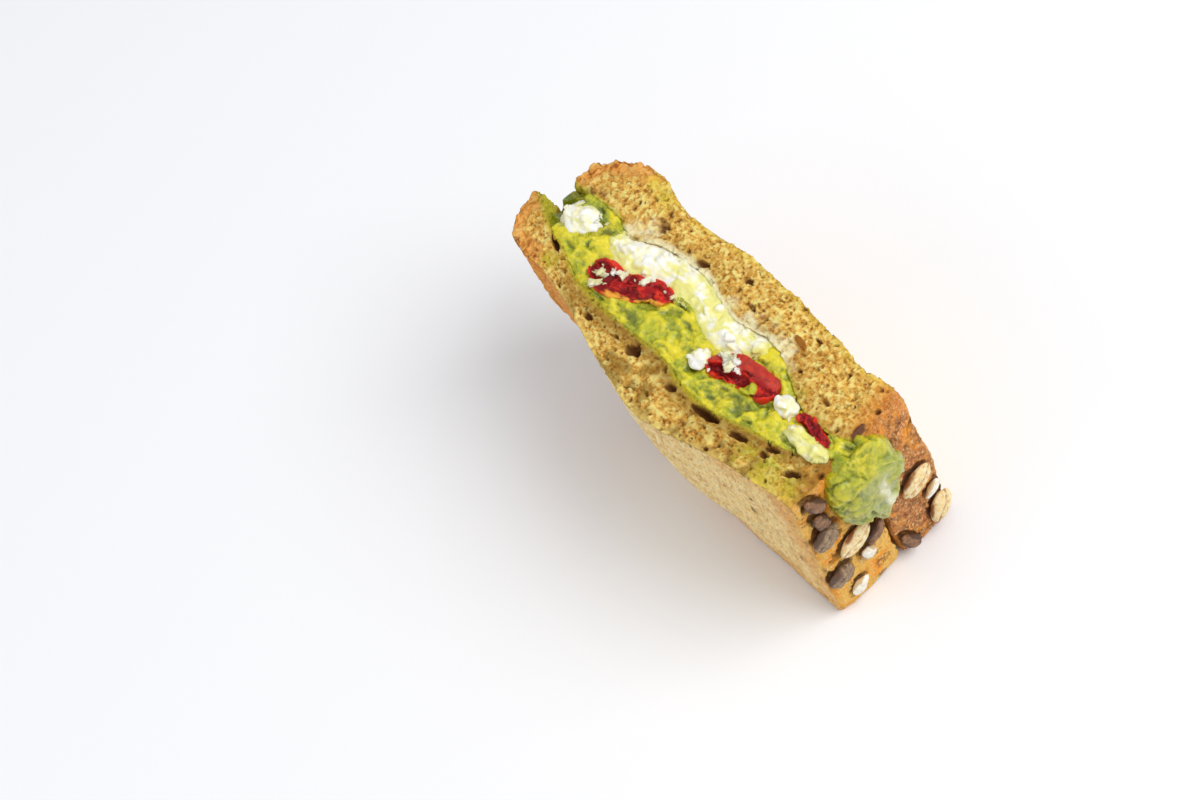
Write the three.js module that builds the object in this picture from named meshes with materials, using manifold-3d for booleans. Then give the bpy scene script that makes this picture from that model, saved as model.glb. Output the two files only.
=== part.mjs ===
// Half of a toasted multigrain sandwich with avocado, crumbly white cheese and sun-dried
// tomato. It stands on the crust of the loaf's side, with the knife's cut face up.
//
// Millimetres. X runs from the loaf's domed crust to its seeded base crust, Y from the slice
// under the avocado to the slice over the cheese, and Z is up. The origin is under the middle
// of the sandwich, on the surface that it stands on.
//
// Every soft piece is a box of facets that a function of (u, v, w) moulds to shape: u runs
// along X, w along Y and v along Z, each from 0 to 1.

import * as THREE from 'three';
import { mergeVertices } from 'three/addons/utils/BufferGeometryUtils.js';
import Module from 'manifold-3d';

const wasm = await Module();
wasm.setup();

const { lerp, clamp, smoothstep } = THREE.MathUtils;

// ---------------------------------------------------------------- the loaf's outline

const CUT_HEIGHT = 63; // from the flat spot that it stands on up to the cut face
const SIDE_DEPTH = 63.5; // from the cut face to the side crust, before it sat flat
const BASE_X = 55.6; // the loaf's flat base crust
const CROWN_X = -6; // here the side crust starts to turn up into the dome
const DOME_POWER = 1.6; // superellipse power of the dome's turn
const CORNER_POWER = 36; // and of the tight turn between side and base
const CRUST_CROWN = 0.014; // how far the crust's edges fall back, as a share of its reach
const CRUST_POWER = 8; // how close to the crust its crown and relief stay
const MIDDLE = new THREE.Vector3(0.5, 0.5, 0); // middle of the sandwich's box in the loaf's frame

// ---------------------------------------------------------------- the layers

const SEAM_Y = 4.7; // where the two slices meet round the crust
const SEAM_HALF = 0.5; // half the gap that they leave there
const CLOSING_POWER = 3.5; // how late the slices close towards the side crust
const END_CLOSING_POWER = 12; // and towards the dome and the base
const END_CLOSING_RATE = 4; // they are shut at this share of the depth below the cut
const FILLING_GAP = 0.5; // clearance of the fillings from the bread
const PIECE_GAP = 0.5; // clearance of one filling from another

// Lines of the layers on the cut face, as [x, y].
const BOTTOM_OUTER = [[-61, -6], [-56, -11.9], [-36, -14.2], [-15, -20], [-1, -23.2], [10, -24.2],
  [26, -20.6], [45, -17], [55, -16.3]];
const BOTTOM_INNER = [[-61, 1.5], [-50, -3.5], [-42, -5.5], [-31, -9.4], [-12, -9.6], [3, -9.2],
  [9, -11.2], [17, -11.6], [28, -9], [46, -4.4], [55, 1.2]];
const TOP_INNER = [[-56, 8.6], [-46, 10], [-38, 9.8], [-31, 7.6], [-23, 10.9], [-9, 13],
  [0, 11], [8, 9.6], [17, 10.8], [24, 10.2], [31, 6.6], [38, 3.6], [48, 3.6], [55, 6.4]];
const TOP_OUTER = [[-56, 14], [-51, 20.8], [-39, 25], [-24, 22.2], [-8, 23.4], [9, 24],
  [28, 22.6], [41, 20.9], [50, 22.2], [55, 22.6]];
// The top of the avocado under the cheese.
const CHEESE_UNDER = [[-36, 2.6], [-27, 0.8], [-18, 3.2], [-10, 3.8], [-6, 5.4], [0, 2.6],
  [6, 0.8], [11, 1.4], [18, 6.2]];

// ---------------------------------------------------------------- moulding

/** A smooth line through [x, y] knots, as a function of x that stays level past its ends. */
function lineThrough(knots) {
  const slope = (i, j) => (knots[j][1] - knots[i][1]) / (knots[j][0] - knots[i][0]);
  const last = knots.length - 1;
  return (x) => {
    const at = clamp(x, knots[0][0], knots[last][0]);
    const i = Math.min(knots.findLastIndex((knot) => knot[0] <= at), last - 1);
    const span = knots[i + 1][0] - knots[i][0];
    const t = (at - knots[i][0]) / span;
    const leaving = i > 0 ? slope(i - 1, i + 1) : slope(i, i + 1);
    const arriving = i < last - 1 ? slope(i, i + 2) : slope(i, i + 1);
    const start = (1 + 2 * t) * (1 - t) ** 2 * knots[i][1] + t * (1 - t) ** 2 * span * leaving;
    const end = t * t * (3 - 2 * t) * knots[i + 1][1] - t * t * (1 - t) * span * arriving;
    return start + end;
  };
}

/** A smooth unevenness of about one unit, with features of about the given size. */
function unevenness(x, y, z, size, phase = 0) {
  const k = (2 * Math.PI) / size;
  const along = Math.sin(k * x + 1.7 * Math.sin(0.61 * k * z + phase) + phase);
  const across = Math.sin(0.83 * k * y + 1.3 * Math.sin(0.47 * k * x + 2 * phase));
  const up = Math.sin(0.71 * k * z + 1.1 * Math.sin(0.53 * k * y + 3 * phase));
  return (along + across + up) / 3;
}

/** A seeded random function of its own stream, from 0 to 1. */
function randomFrom(seed) {
  let state = seed >>> 0;
  return () => {
    state = (Math.imul(state, 1664525) + 1013904223) >>> 0;
    return state / 2 ** 32;
  };
}

/** Merges the corners that a geometry's faces share, which leaves only its positions. */
function welded(geometry) {
  geometry.deleteAttribute('normal');
  geometry.deleteAttribute('uv');
  return mergeVertices(geometry);
}

/** A closed box of nx by ny by nz facets whose corners are moved to place(u, v, w). */
function mould([nx, ny, nz], place) {
  const geometry = welded(new THREE.BoxGeometry(1, 1, 1, nx, ny, nz));
  const corners = geometry.attributes.position;
  for (let i = 0; i < corners.count; i += 1) {
    const u = corners.getX(i) + 0.5;
    const w = corners.getY(i) + 0.5;
    const v = corners.getZ(i) + 0.5;
    corners.setXYZ(i, ...place(u, v, w));
  }
  return geometry;
}

/** A geometry as a solid that can be joined and cut. */
function toSolid(geometry) {
  const vertProperties = Float32Array.from(geometry.attributes.position.array);
  const triVerts = Uint32Array.from(geometry.index.array);
  return new wasm.Manifold(new wasm.Mesh({ numProp: 3, vertProperties, triVerts }));
}

/** A joined or cut solid as a geometry again. */
function toGeometry(solid) {
  const { numProp, vertProperties, triVerts } = solid.getMesh();
  const positions = new Float32Array((vertProperties.length / numProp) * 3);
  for (let i = 0; i < positions.length / 3; i += 1) {
    positions.set(vertProperties.subarray(i * numProp, i * numProp + 3), i * 3);
  }
  const geometry = new THREE.BufferGeometry();
  geometry.setAttribute('position', new THREE.BufferAttribute(positions, 3));
  geometry.setIndex(new THREE.BufferAttribute(Uint32Array.from(triVerts), 1));
  return geometry;
}

// ---------------------------------------------------------------- the slices

/**
 * A point of the half loaf's plan. It is given by how far it is along the cut (u) and down
 * from it (down), and lies within the superellipses of the dome and of the base's corner.
 */
function planPoint(outline, u, down) {
  const across = lerp(outline.domeX, outline.baseX, u);
  const inDome = across < CROWN_X;
  const span = (inDome ? outline.domeX : outline.baseX) - CROWN_X;
  const power = inDome ? outline.domePower : outline.cornerPower;
  const a = (across - CROWN_X) / span;
  const reach = Math.max(a, down);
  const shrink = reach > 0 ? reach / (a ** power + down ** power) ** (1 / power) : 1;
  return {
    x: CROWN_X + span * a * shrink,
    depth: outline.depth * down * shrink,
    end: a,
    down,
    reach,
    inDome,
  };
}

/** How far open the slices are at a point of the plan: 1 on the cut face, 0 at the crust. */
function openness({ end, down }) {
  const endClosing = end ** END_CLOSING_POWER * Math.min(1, END_CLOSING_RATE * down);
  return Math.max(0, 1 - down ** CLOSING_POWER - endClosing);
}

const bottomInner = lineThrough(BOTTOM_INNER);
const topInner = lineThrough(TOP_INNER);

/** The bottom slice's face under the avocado. */
function floorY(plan) {
  return SEAM_Y - SEAM_HALF + (bottomInner(plan.x) - SEAM_Y + SEAM_HALF) * openness(plan);
}

/** The top slice's face over the cheese. */
function roofY(plan) {
  return SEAM_Y + SEAM_HALF + (topInner(plan.x) - SEAM_Y - SEAM_HALF) * openness(plan);
}

/** The outer, toasted face of a slice, bowed out by the fillings and flat at its rim. */
function outerFace(line, rimY, domeDraw) {
  return (plan) => {
    const rim = rimY - (plan.inDome ? domeDraw * plan.end ** 2 : 0);
    return rim + (line(plan.x) - rim) * (1 - plan.down ** 2);
  };
}

const LOAF = {
  baseX: BASE_X,
  depth: SIDE_DEPTH,
  domePower: DOME_POWER,
  cornerPower: CORNER_POWER,
};

const BOTTOM_SLICE = {
  ...LOAF,
  domeX: -61.2,
  lowFace: outerFace(lineThrough(BOTTOM_OUTER), -17, -5),
  highFace: floorY,
  cutLean: 1.2,
};

const TOP_SLICE = {
  ...LOAF,
  domeX: -55.5,
  lowFace: roofY,
  highFace: outerFace(lineThrough(TOP_OUTER), 22.7, 4),
  cutLean: 4.4,
};

const SLICE_FACETS = [28, 4, 12];
const LEAN_DEPTH = 10; // the base crust falls back only this far down from the cut
const CRUST_RELIEF = 0.45; // height of the crust's and the crumb's unevenness
const CRUST_RELIEF_SIZE = 19;
const CUT_EDGE = 2; // the crust has no relief this close to the cut face

/** A point of a slice: along the loaf, up from the side crust, and across its thickness. */
function slicePoint(slice, u, v, w) {
  const plan = planPoint(slice, u, 1 - v);
  const edge = (2 * w - 1) ** 4 * CRUST_CROWN * plan.reach ** CRUST_POWER;
  const depth = Math.min(plan.depth * (1 - edge), CUT_HEIGHT);
  const lean = plan.inDome ? 0 : slice.cutLean * w * plan.end ** 6 * Math.exp(-depth / LEAN_DEPTH);
  const x = CROWN_X + (plan.x - CROWN_X) * (1 - edge) - lean;
  const y = lerp(slice.lowFace(plan), slice.highFace(plan), w);
  const relief = CRUST_RELIEF * unevenness(x, y, depth, CRUST_RELIEF_SIZE, slice.domeX);
  return [
    depth > CUT_EDGE ? x + relief * plan.reach ** CRUST_POWER : x,
    y + relief * (2 * w - 1) ** 2,
    CUT_HEIGHT - depth + relief * (1 - plan.down) ** CRUST_POWER,
  ];
}

// ---------------------------------------------------------------- the seeds on the crust

const SEED_SIDES = 6;
const SEED_RINGS = 4;
const SEED_SUNK = 0.25; // share of a seed's thickness that is baked into the crust

// Length, width and thickness of each kind.
const SEED_KINDS = {
  pumpkin: [8.5, 7, 3],
  kernel: [10.5, 6.8, 3.2],
  flake: [6.2, 4.2, 1.8],
  husk: [8.4, 4.2, 2.2],
};

/**
 * Seeds that lie on the base crust: kind, depth below the cut face, place across the slice
 * from its low face (0) to its high face (1), and turn from the vertical in degrees.
 */
const BOTTOM_BASE_SEEDS = [
  ['husk', 5.5, 0.3, 30],
  ['husk', 13.5, 0.27, 15],
  ['pumpkin', 21.5, 0.23, -60],
  ['kernel', 33, 0.53, -75],
  ['husk', 38, 0.82, -40],
  ['pumpkin', 43, 0.2, -40],
  ['flake', 44, 0.64, 30],
  ['flake', 54, 0.36, -66],
];
const TOP_BASE_SEEDS = [
  ['kernel', 32.5, 0.59, -60],
  ['flake', 43.5, 0.8, -66],
  ['kernel', 53, 0.8, -36],
  ['husk', 56.5, 0.16, 29],
];
const SIDE_SEEDS = 12; // more lie on the side crust of each slice, ever fewer towards the dome
const SIDE_SEED_FALL = 2.2; // power with which they thin out
const SIDE_SEED_START = 0.95; // where they start and end along the crust, from dome to base
const SIDE_SEED_END = 0.2;
const CRUST_MARGIN = 0.2; // share of the thickness that stays bare at each edge

/** A seed of the given kind, lying along Z with its thickness along X. */
function seedGeometry(kind) {
  const [length, width, thickness] = SEED_KINDS[kind];
  const geometry = welded(new THREE.SphereGeometry(0.5, SEED_SIDES, SEED_RINGS));
  geometry.rotateX(Math.PI / 2);
  return geometry.scale(thickness, width, length);
}

/** Where a crust place is, and the directions out of the crust and across the slice there. */
function crustFrame(slice, u, v, w) {
  const at = (du, dv, dw) => new THREE.Vector3(...slicePoint(slice, u + du, v + dv, w + dw));
  const step = 0.02;
  const along = u < 1 ? at(step, 0, 0).sub(at(-step, 0, 0)) : at(0, step, 0).sub(at(0, -step, 0));
  const across = at(0, 0, step).sub(at(0, 0, -step)).normalize();
  const out = across.clone().cross(along).normalize();
  return { place: at(0, 0, 0), out, across };
}

/** A seed that lies on a slice's crust, as a solid. */
function seedSolid(slice, [kind, u, v, w, turn]) {
  const { place, out, across } = crustFrame(slice, u, v, w);
  const thickness = SEED_KINDS[kind][2];
  const geometry = seedGeometry(kind).rotateX(THREE.MathUtils.degToRad(turn));
  geometry.applyMatrix4(new THREE.Matrix4().makeBasis(out, across, out.clone().cross(across)));
  place.addScaledVector(out, (0.5 - SEED_SUNK) * thickness);
  return toSolid(geometry.translate(place.x, place.y, Math.max(place.z, thickness)));
}

/** The seeds of a slice: those of its base crust, and more scattered over its side crust. */
function seedPlaces(baseSeeds, seed) {
  const random = randomFrom(seed);
  const places = baseSeeds.map(([kind, depth, w, turn]) => (
    [kind, 1, 1 - depth / SIDE_DEPTH, w, turn]));
  const kinds = Object.keys(SEED_KINDS);
  for (let i = 0; i < SIDE_SEEDS; i += 1) {
    const share = ((i + random()) / SIDE_SEEDS) ** SIDE_SEED_FALL;
    const u = lerp(SIDE_SEED_START, SIDE_SEED_END, share);
    const w = lerp(CRUST_MARGIN, 1 - CRUST_MARGIN, random());
    places.push([kinds[i % kinds.length], u, 0, w, 180 * random()]);
  }
  return places;
}

/** A slice of bread as a solid, without its seeds. */
function breadSolid(slice) {
  return toSolid(mould(SLICE_FACETS, (u, v, w) => slicePoint(slice, u, v, w)));
}

/** A slice of bread with its seeds baked on. */
function breadSlice(slice, baseSeeds, seed) {
  const bread = breadSolid(slice);
  return toGeometry(seedPlaces(baseSeeds, seed)
    .reduce((solid, place) => solid.add(seedSolid(slice, place)), bread));
}

// ---------------------------------------------------------------- the fillings

const AVOCADO_SETBACK = 4; // the avocado layer ends this far inside the base crust
const AVOCADO = {
  domeX: -56,
  baseX: BASE_X - AVOCADO_SETBACK,
  depth: SIDE_DEPTH - 2 * AVOCADO_SETBACK,
  domePower: 1.5,
  cornerPower: 2.6,
};
const AVOCADO_FACETS = [24, 2, 7];
const FILLING_RUN_IN = 1.5; // how far a filling is made into the bread before it is cut back
const RUN_IN_DEPTH = 3; // depth below the cut face where it has run in that far
const ROOM_RISE = 0.4; // clearance over the bread's cut face
const AVOCADO_RISE = 0.6; // the avocado stands a little above the knife's cut
const LUMP_SIZE = 9;
const LUMP_HEIGHT = 0.8; // height of a layer's lumps, as a share of its rise

/** A place in the loaf's plan that a filling's own plan point stands over. */
function inLoaf(x, depth, domeX) {
  const inDome = x < CROWN_X;
  const span = (inDome ? domeX : BASE_X) - CROWN_X;
  const power = inDome ? DOME_POWER : CORNER_POWER;
  const a = (x - CROWN_X) / span;
  const b = depth / SIDE_DEPTH;
  const norm = (a ** power + b ** power) ** (1 / power);
  const reach = Math.max(a, b);
  const stretch = reach > 0 ? norm / reach : 1;
  return { x, end: a * stretch, down: b * stretch };
}

/**
 * The lowest and highest y of a filling at a place inside the sandwich. Below the cut face it
 * runs a little into the bread, and is cut back to the bread's own shape afterwards.
 */
function fillingSpan(x, depth) {
  const into = lerp(-FILLING_GAP, FILLING_RUN_IN, smoothstep(depth, 0, RUN_IN_DEPTH));
  const low = floorY(inLoaf(x, depth, BOTTOM_SLICE.domeX)) - into;
  const high = roofY(inLoaf(x, depth, TOP_SLICE.domeX)) + into;
  return [low, high];
}

/** A layer that fills the share from lowShare to highShare of the space between the slices. */
function layerPoint(outline, shares, rise, u, v, w) {
  const { x, depth, down } = planPoint(outline, u, 1 - v);
  const [floor, roof] = fillingSpan(x, depth);
  const [lowShare, highShare] = shares(x, depth, floor, roof);
  const y = lerp(lerp(floor, roof, lowShare), lerp(floor, roof, highShare), w);
  const swell = 1 + LUMP_HEIGHT * unevenness(x, y, 0, LUMP_SIZE, 1);
  const lump = rise * swell * (1 - (2 * w - 1) ** 4);
  return [x, y, CUT_HEIGHT - depth + lump * (1 - down) ** 4];
}

// The dollop that ran out over the base crust: its middle and its half sizes.
const DOLLOP_AT = new THREE.Vector3(BASE_X + 0.4, 3.4, CUT_HEIGHT - 12.5);
const DOLLOP_HALF = new THREE.Vector3(6.3, 10.8, 14.2);
const DOLLOP_FACETS = [12, 8];

/** A ball of unit size whose surface swells unevenly by the given share, with its poles up. */
function unevenBall(facets, share, size, phase) {
  const geometry = welded(new THREE.SphereGeometry(1, ...facets)).rotateX(Math.PI / 2);
  const corners = geometry.attributes.position;
  for (let i = 0; i < corners.count; i += 1) {
    const corner = new THREE.Vector3().fromBufferAttribute(corners, i);
    corner.multiplyScalar(1 + share * unevenness(...corner, size, phase));
    corners.setXYZ(i, ...corner);
  }
  return geometry;
}

/** The dollop, a rounded lump whose back lies against the base crust. */
function dollop() {
  const geometry = unevenBall(DOLLOP_FACETS, 0.12, 0.9, 2).scale(...DOLLOP_HALF);
  geometry.translate(...DOLLOP_AT);
  const corners = geometry.attributes.position;
  const back = BASE_X + FILLING_GAP;
  for (let i = 0; i < corners.count; i += 1) {
    corners.setX(i, Math.max(corners.getX(i), back));
  }
  return geometry;
}

const NECK_START_X = 44;
const NECK_END_X = BASE_X + 3;
const NECK_RISE = 0.5;
const NECK_DEPTH = 8;
const NECK_FACETS = [5, 2, 3];

/** The avocado that joins the layer to the dollop through the gap at the base. */
function neckPoint(u, v, w) {
  const x = lerp(NECK_START_X, NECK_END_X, u);
  const depth = NECK_DEPTH * (1 - v);
  const plan = inLoaf(Math.min(x, BASE_X), depth, TOP_SLICE.domeX);
  const y = lerp(floorY(plan) + FILLING_GAP, roofY(plan) - FILLING_GAP, w);
  return [x, y, CUT_HEIGHT - depth + NECK_RISE * v];
}

const CHEESE = { domeX: -33.5, baseX: 19, depth: 42, domePower: 2.4, cornerPower: 2.4 };
const CHEESE_FACETS = [16, 2, 4];
const CHEESE_RISE = 1.5;
const CHEESE_THIN = 0.55; // share of the filling's thickness where the cheese starts deep down
const CHEESE_THIN_DEPTH = 30;
const cheeseUnder = lineThrough(CHEESE_UNDER);

/** The share of the space between the slices that the cheese band fills at a place. */
function cheeseShares(x, depth, floor, roof) {
  const under = (cheeseUnder(x) - floor) / (roof - floor);
  return [lerp(under, CHEESE_THIN, smoothstep(depth, 0, CHEESE_THIN_DEPTH)), 1];
}

// Lumps of cheese on the cut face: middle, from the cut face up, and half sizes.
const CHEESE_LUMPS = [
  { name: 'cheese_crown', middle: [-44.6, 3.2, -1.2], halves: [6.6, 3.5, 3.4] },
  { name: 'cheese_lump_1', middle: [8.8, -3.6, 0.5], halves: [2.9, 2.6, 2.5] },
  { name: 'cheese_lump_2', middle: [34.6, 1.8, 0.2], halves: [3.4, 2.6, 2.8] },
  { name: 'cheese_lump_3', middle: [46, -1.9, 0.1], halves: [6.8, 2, 2.4] },
];

const CHEESE_LUMP_FACETS = [8, 6];

/**
 * Pieces of sun-dried tomato: from one end to the other on the cut face, half width at each
 * end, how far the edge stands above the cut, how deep the piece reaches, and its curl.
 */
const TOMATOES = [
  { from: [-32, -4.2], to: [-8.6, 1.6], halves: [5, 2.2], rise: 0.8, depth: 30, curl: -1 },
  { from: [11.8, -2.8], to: [30.6, 3.6], halves: [3.8, 3.5], rise: 1.2, depth: 32, curl: 1 },
  { from: [39, 2.1], to: [50, 1.2], halves: [1.4, 1.5], rise: 1, depth: 14, curl: 0.3 },
];
const TOMATO_FACETS = [10, 2, 4];
const TOMATO_TAPER = 0.55; // how much narrower a piece is at its foot
const TOMATO_FOLD = 0.45; // height of the folds in its edge
const TOMATO_SLANT = 0.18; // how far its two skins are shifted along each other
const TOMATO_TIP = 0.25; // half width of its blunt ends, as a share
const TOMATO_BLUNT = 5; // how suddenly it narrows to them

/** A point of a folded piece of tomato, made larger all round by grow. */
function tomatoPoint(tomato, grow, u, v, w) {
  const along = clamp(u, 0, 1);
  const across = 2 * w - 1;
  const round = Math.sqrt(Math.max(TOMATO_TIP ** 2, 1 - Math.abs(2 * along - 1) ** TOMATO_BLUNT));
  const taper = 1 - TOMATO_TAPER * (1 - v) ** 2;
  const half = lerp(...tomato.halves, along) * round * taper + grow;
  const middleX = lerp(tomato.from[0], tomato.to[0], along) + Math.sign(2 * along - 1) * grow;
  const middleY = lerp(tomato.from[1], tomato.to[1], along);
  const bend = tomato.curl * Math.sin(Math.PI * 1.5 * along);
  const fold = TOMATO_FOLD * Math.sin(9 * along + 2.5 * w);
  return [
    middleX - TOMATO_SLANT * half * across,
    middleY + bend + half * across,
    CUT_HEIGHT + lerp(-tomato.depth - grow, tomato.rise + fold + grow, v),
  ];
}

/** A piece of tomato as a solid. */
function tomatoSolid(tomato, grow = 0) {
  return toSolid(mould(TOMATO_FACETS, (u, v, w) => tomatoPoint(tomato, grow, u, v, w)));
}

/** The cheese band, or the room that it takes up when it is made larger by grow. */
function cheeseSolid(grow = 0) {
  const outline = {
    ...CHEESE,
    domeX: CHEESE.domeX - grow,
    baseX: CHEESE.baseX + grow,
    depth: CHEESE.depth + grow,
  };
  return toSolid(mould(CHEESE_FACETS, (u, v, w) => {
    const [x, y, z] = layerPoint(outline, cheeseShares, CHEESE_RISE, u, v, w);
    return [x, w < 0.5 ? y - grow : y + 4 * grow, v > 0.99 ? z + 4 * grow : z];
  }));
}

/** A lump of cheese as a solid, an uneven ball made larger by grow. */
function lumpSolid({ middle, halves }, phase, grow = 0) {
  const ball = unevenBall(CHEESE_LUMP_FACETS, 0.16, 0.9, phase);
  ball.scale(...halves.map((half) => half + grow));
  return toSolid(ball.translate(middle[0], middle[1], CUT_HEIGHT + middle[2]));
}

// ---------------------------------------------------------------- the whole

const MATERIALS = {
  bread: new THREE.MeshStandardMaterial({ color: 0xc9a468, roughness: 0.9, metalness: 0 }),
  avocado: new THREE.MeshStandardMaterial({ color: 0xa3b838, roughness: 0.4, metalness: 0 }),
  cheese: new THREE.MeshStandardMaterial({ color: 0xf4eed8, roughness: 0.6, metalness: 0 }),
  tomato: new THREE.MeshStandardMaterial({ color: 0xa01c20, roughness: 0.3, metalness: 0 }),
};

const sandwich = new THREE.Group();
sandwich.position.copy(MIDDLE).negate();

/** Adds one named piece to the sandwich. */
function addPiece(name, geometry, material) {
  const mesh = new THREE.Mesh(geometry, material);
  mesh.name = name;
  sandwich.add(mesh);
}

addPiece('slice_bottom', breadSlice(BOTTOM_SLICE, BOTTOM_BASE_SEEDS, 11), MATERIALS.bread);
addPiece('slice_top', breadSlice(TOP_SLICE, TOP_BASE_SEEDS, 23), MATERIALS.bread);

// The bread grown towards the fillings, and its ends grown out past them.
const breadRoom = [
  breadSolid(BOTTOM_SLICE).translate([0, FILLING_GAP, ROOM_RISE]),
  breadSolid(TOP_SLICE).translate([0, -FILLING_GAP, ROOM_RISE]),
];
const baseRoom = [BOTTOM_SLICE, TOP_SLICE]
  .map((slice) => breadSolid(slice).translate([FILLING_GAP, 0, 0]));
const domeRoom = breadSolid(TOP_SLICE).translate([-FILLING_GAP, -FILLING_GAP, 0]);
const tomatoRoom = TOMATOES.map((tomato) => tomatoSolid(tomato, PIECE_GAP));
const lumpRoom = CHEESE_LUMPS.map((lump, i) => lumpSolid(lump, i, PIECE_GAP));

/** Adds a filling, cut back from the pieces whose rooms are given. */
function addFilling(name, solid, rooms, material) {
  addPiece(name, toGeometry(rooms.reduce((rest, room) => rest.subtract(room), solid)), material);
}

const avocadoLayer = toSolid(mould(AVOCADO_FACETS, (u, v, w) => (
  layerPoint(AVOCADO, () => [0, 1], AVOCADO_RISE, u, v, w))));
const neck = toSolid(mould(NECK_FACETS, neckPoint));
const spill = baseRoom.reduce((rest, room) => rest.subtract(room), toSolid(dollop()));
addFilling(
  'avocado',
  avocadoLayer.add(neck).add(spill),
  [...breadRoom, domeRoom, cheeseSolid(PIECE_GAP), ...tomatoRoom, ...lumpRoom],
  MATERIALS.avocado,
);
addFilling('cheese_band', cheeseSolid(), [breadRoom[1], ...tomatoRoom, ...lumpRoom], MATERIALS.cheese);

CHEESE_LUMPS.forEach((lump, i) => {
  addFilling(lump.name, lumpSolid(lump, i), [...breadRoom, ...tomatoRoom], MATERIALS.cheese);
});

TOMATOES.forEach((tomato, i) => {
  addFilling(`tomato_${i + 1}`, tomatoSolid(tomato), breadRoom, MATERIALS.tomato);
});

export default sandwich;
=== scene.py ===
"""Half of a toasted multigrain sandwich with avocado, white cheese and sun-dried tomato.

The food stands on the crust of the loaf's side, with the knife's cut face up. Each slice is a
box of facets that a function of (u, w, v) moulds to the loaf's form, with u along the loaf
from dome to base, w across the slice and v up from the side crust to the cut face. The
fillings are fine copies of their solids, with relief of their own. Sizes are in millimetres
unless a name says otherwise, and MM turns them into metres when a mesh is written.
"""

import logging
import math
from dataclasses import dataclass
from enum import Enum
from typing import Callable, Sequence

import bmesh
import bpy
import numpy as np
from mathutils import Matrix, Vector
from mathutils.bvhtree import BVHTree


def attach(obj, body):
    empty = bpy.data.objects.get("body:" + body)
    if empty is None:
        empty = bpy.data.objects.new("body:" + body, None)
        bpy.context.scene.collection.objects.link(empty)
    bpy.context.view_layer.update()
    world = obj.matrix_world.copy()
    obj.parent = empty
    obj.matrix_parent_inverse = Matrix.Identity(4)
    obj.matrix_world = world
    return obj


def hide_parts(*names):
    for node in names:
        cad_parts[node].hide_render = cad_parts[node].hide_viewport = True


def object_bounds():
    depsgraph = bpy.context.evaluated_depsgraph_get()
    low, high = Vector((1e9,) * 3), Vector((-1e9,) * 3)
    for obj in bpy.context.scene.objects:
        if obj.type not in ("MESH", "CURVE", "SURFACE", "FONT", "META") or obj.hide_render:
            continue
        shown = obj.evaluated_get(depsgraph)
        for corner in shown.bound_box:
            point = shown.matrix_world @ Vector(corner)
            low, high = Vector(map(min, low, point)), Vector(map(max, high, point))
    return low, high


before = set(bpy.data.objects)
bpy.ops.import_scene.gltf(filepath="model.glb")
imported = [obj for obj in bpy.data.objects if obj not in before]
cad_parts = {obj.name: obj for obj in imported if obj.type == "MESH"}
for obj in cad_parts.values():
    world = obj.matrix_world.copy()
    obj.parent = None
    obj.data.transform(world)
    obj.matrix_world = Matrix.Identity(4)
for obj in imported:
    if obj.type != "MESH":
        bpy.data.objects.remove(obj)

CAD_BOX = [list(corner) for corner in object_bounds()]

MM = 0.001
LOG = logging.getLogger("sandwich")
Array = np.ndarray
Masks = dict[str, Array]
Line = Callable[[Array], Array]
Socket = bpy.types.NodeSocket
Material = bpy.types.Material
Piece = bpy.types.Object
Mesh = bpy.types.Mesh
Facets = bmesh.types.BMesh
Colour = tuple[int, int, int]
Triple = tuple[float, float, float]

# -------- the loaf's outline

CUT_HEIGHT = 63.0  # from the flat spot that it stands on up to the cut face
SIDE_DEPTH = 63.5  # from the cut face to the side crust, before it sat flat
BASE_X = 55.6  # the loaf's flat base crust
CROWN_X = -6.0  # here the side crust starts to turn up into the dome
DOME_POWER = 1.6  # superellipse power of the dome's turn
CORNER_POWER = 36.0  # and of the tight turn between side and base
CRUST_CROWN = 0.014  # how far the crust's edges fall back, as a share of its reach
CRUST_POWER = 8  # how close to the crust its crown and relief stay
CRUST_RELIEF = 0.45  # height of the loaf's wide unevenness
CRUST_RELIEF_SIZE = 19.0
CUT_EDGE = 2.0  # the crust has no relief this close to the cut face
LEAN_DEPTH = 10.0  # how far below the cut the base crust's lean fades
MIDDLE = np.array([0.5, 0.5, 0.0])  # middle of the sandwich's box in the loaf's frame

SEAM_Y = 4.7  # where the two slices meet round the crust
SEAM_HALF = 0.5
CLOSING_POWER = 3.5  # how late the layers close towards the side crust
END_CLOSING_POWER = 12  # and towards the two ends
END_CLOSING_RATE = 4.0  # how soon below the cut they close at the ends

# Lines of the layers on the cut face, as (x, y).
BOTTOM_OUTER = ((-61, -6), (-56, -11.9), (-36, -14.2), (-15, -20), (-1, -23.2), (10, -24.2),
                (26, -20.6), (45, -17), (55, -16.3))
BOTTOM_INNER = ((-61, 1.5), (-50, -3.5), (-42, -5.5), (-31, -9.4), (-12, -9.6), (3, -9.2),
                (9, -11.2), (17, -11.6), (28, -9), (46, -4.4), (55, 1.2))
TOP_INNER = ((-56, 8.6), (-46, 10), (-38, 9.8), (-31, 7.6), (-23, 10.9), (-9, 13), (0, 11),
             (8, 9.6), (17, 10.8), (24, 10.2), (31, 6.6), (38, 3.6), (48, 3.6), (55, 6.4))
TOP_OUTER = ((-56, 14), (-51, 20.8), (-39, 25), (-24, 22.2), (-8, 23.4), (9, 24), (28, 22.6),
             (41, 20.9), (50, 22.2), (55, 22.6))


def smoothstep(value: Array, low: float, high: float) -> Array:
    """A smooth step from 0 at low to 1 at high."""
    t = np.clip((value - low) / (high - low), 0.0, 1.0)
    return t * t * (3 - 2 * t)


def fade(value: Array, low: float, high: float) -> Array:
    """A smooth step from 1 at low to 0 at high."""
    return 1 - smoothstep(value, low, high)


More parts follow.
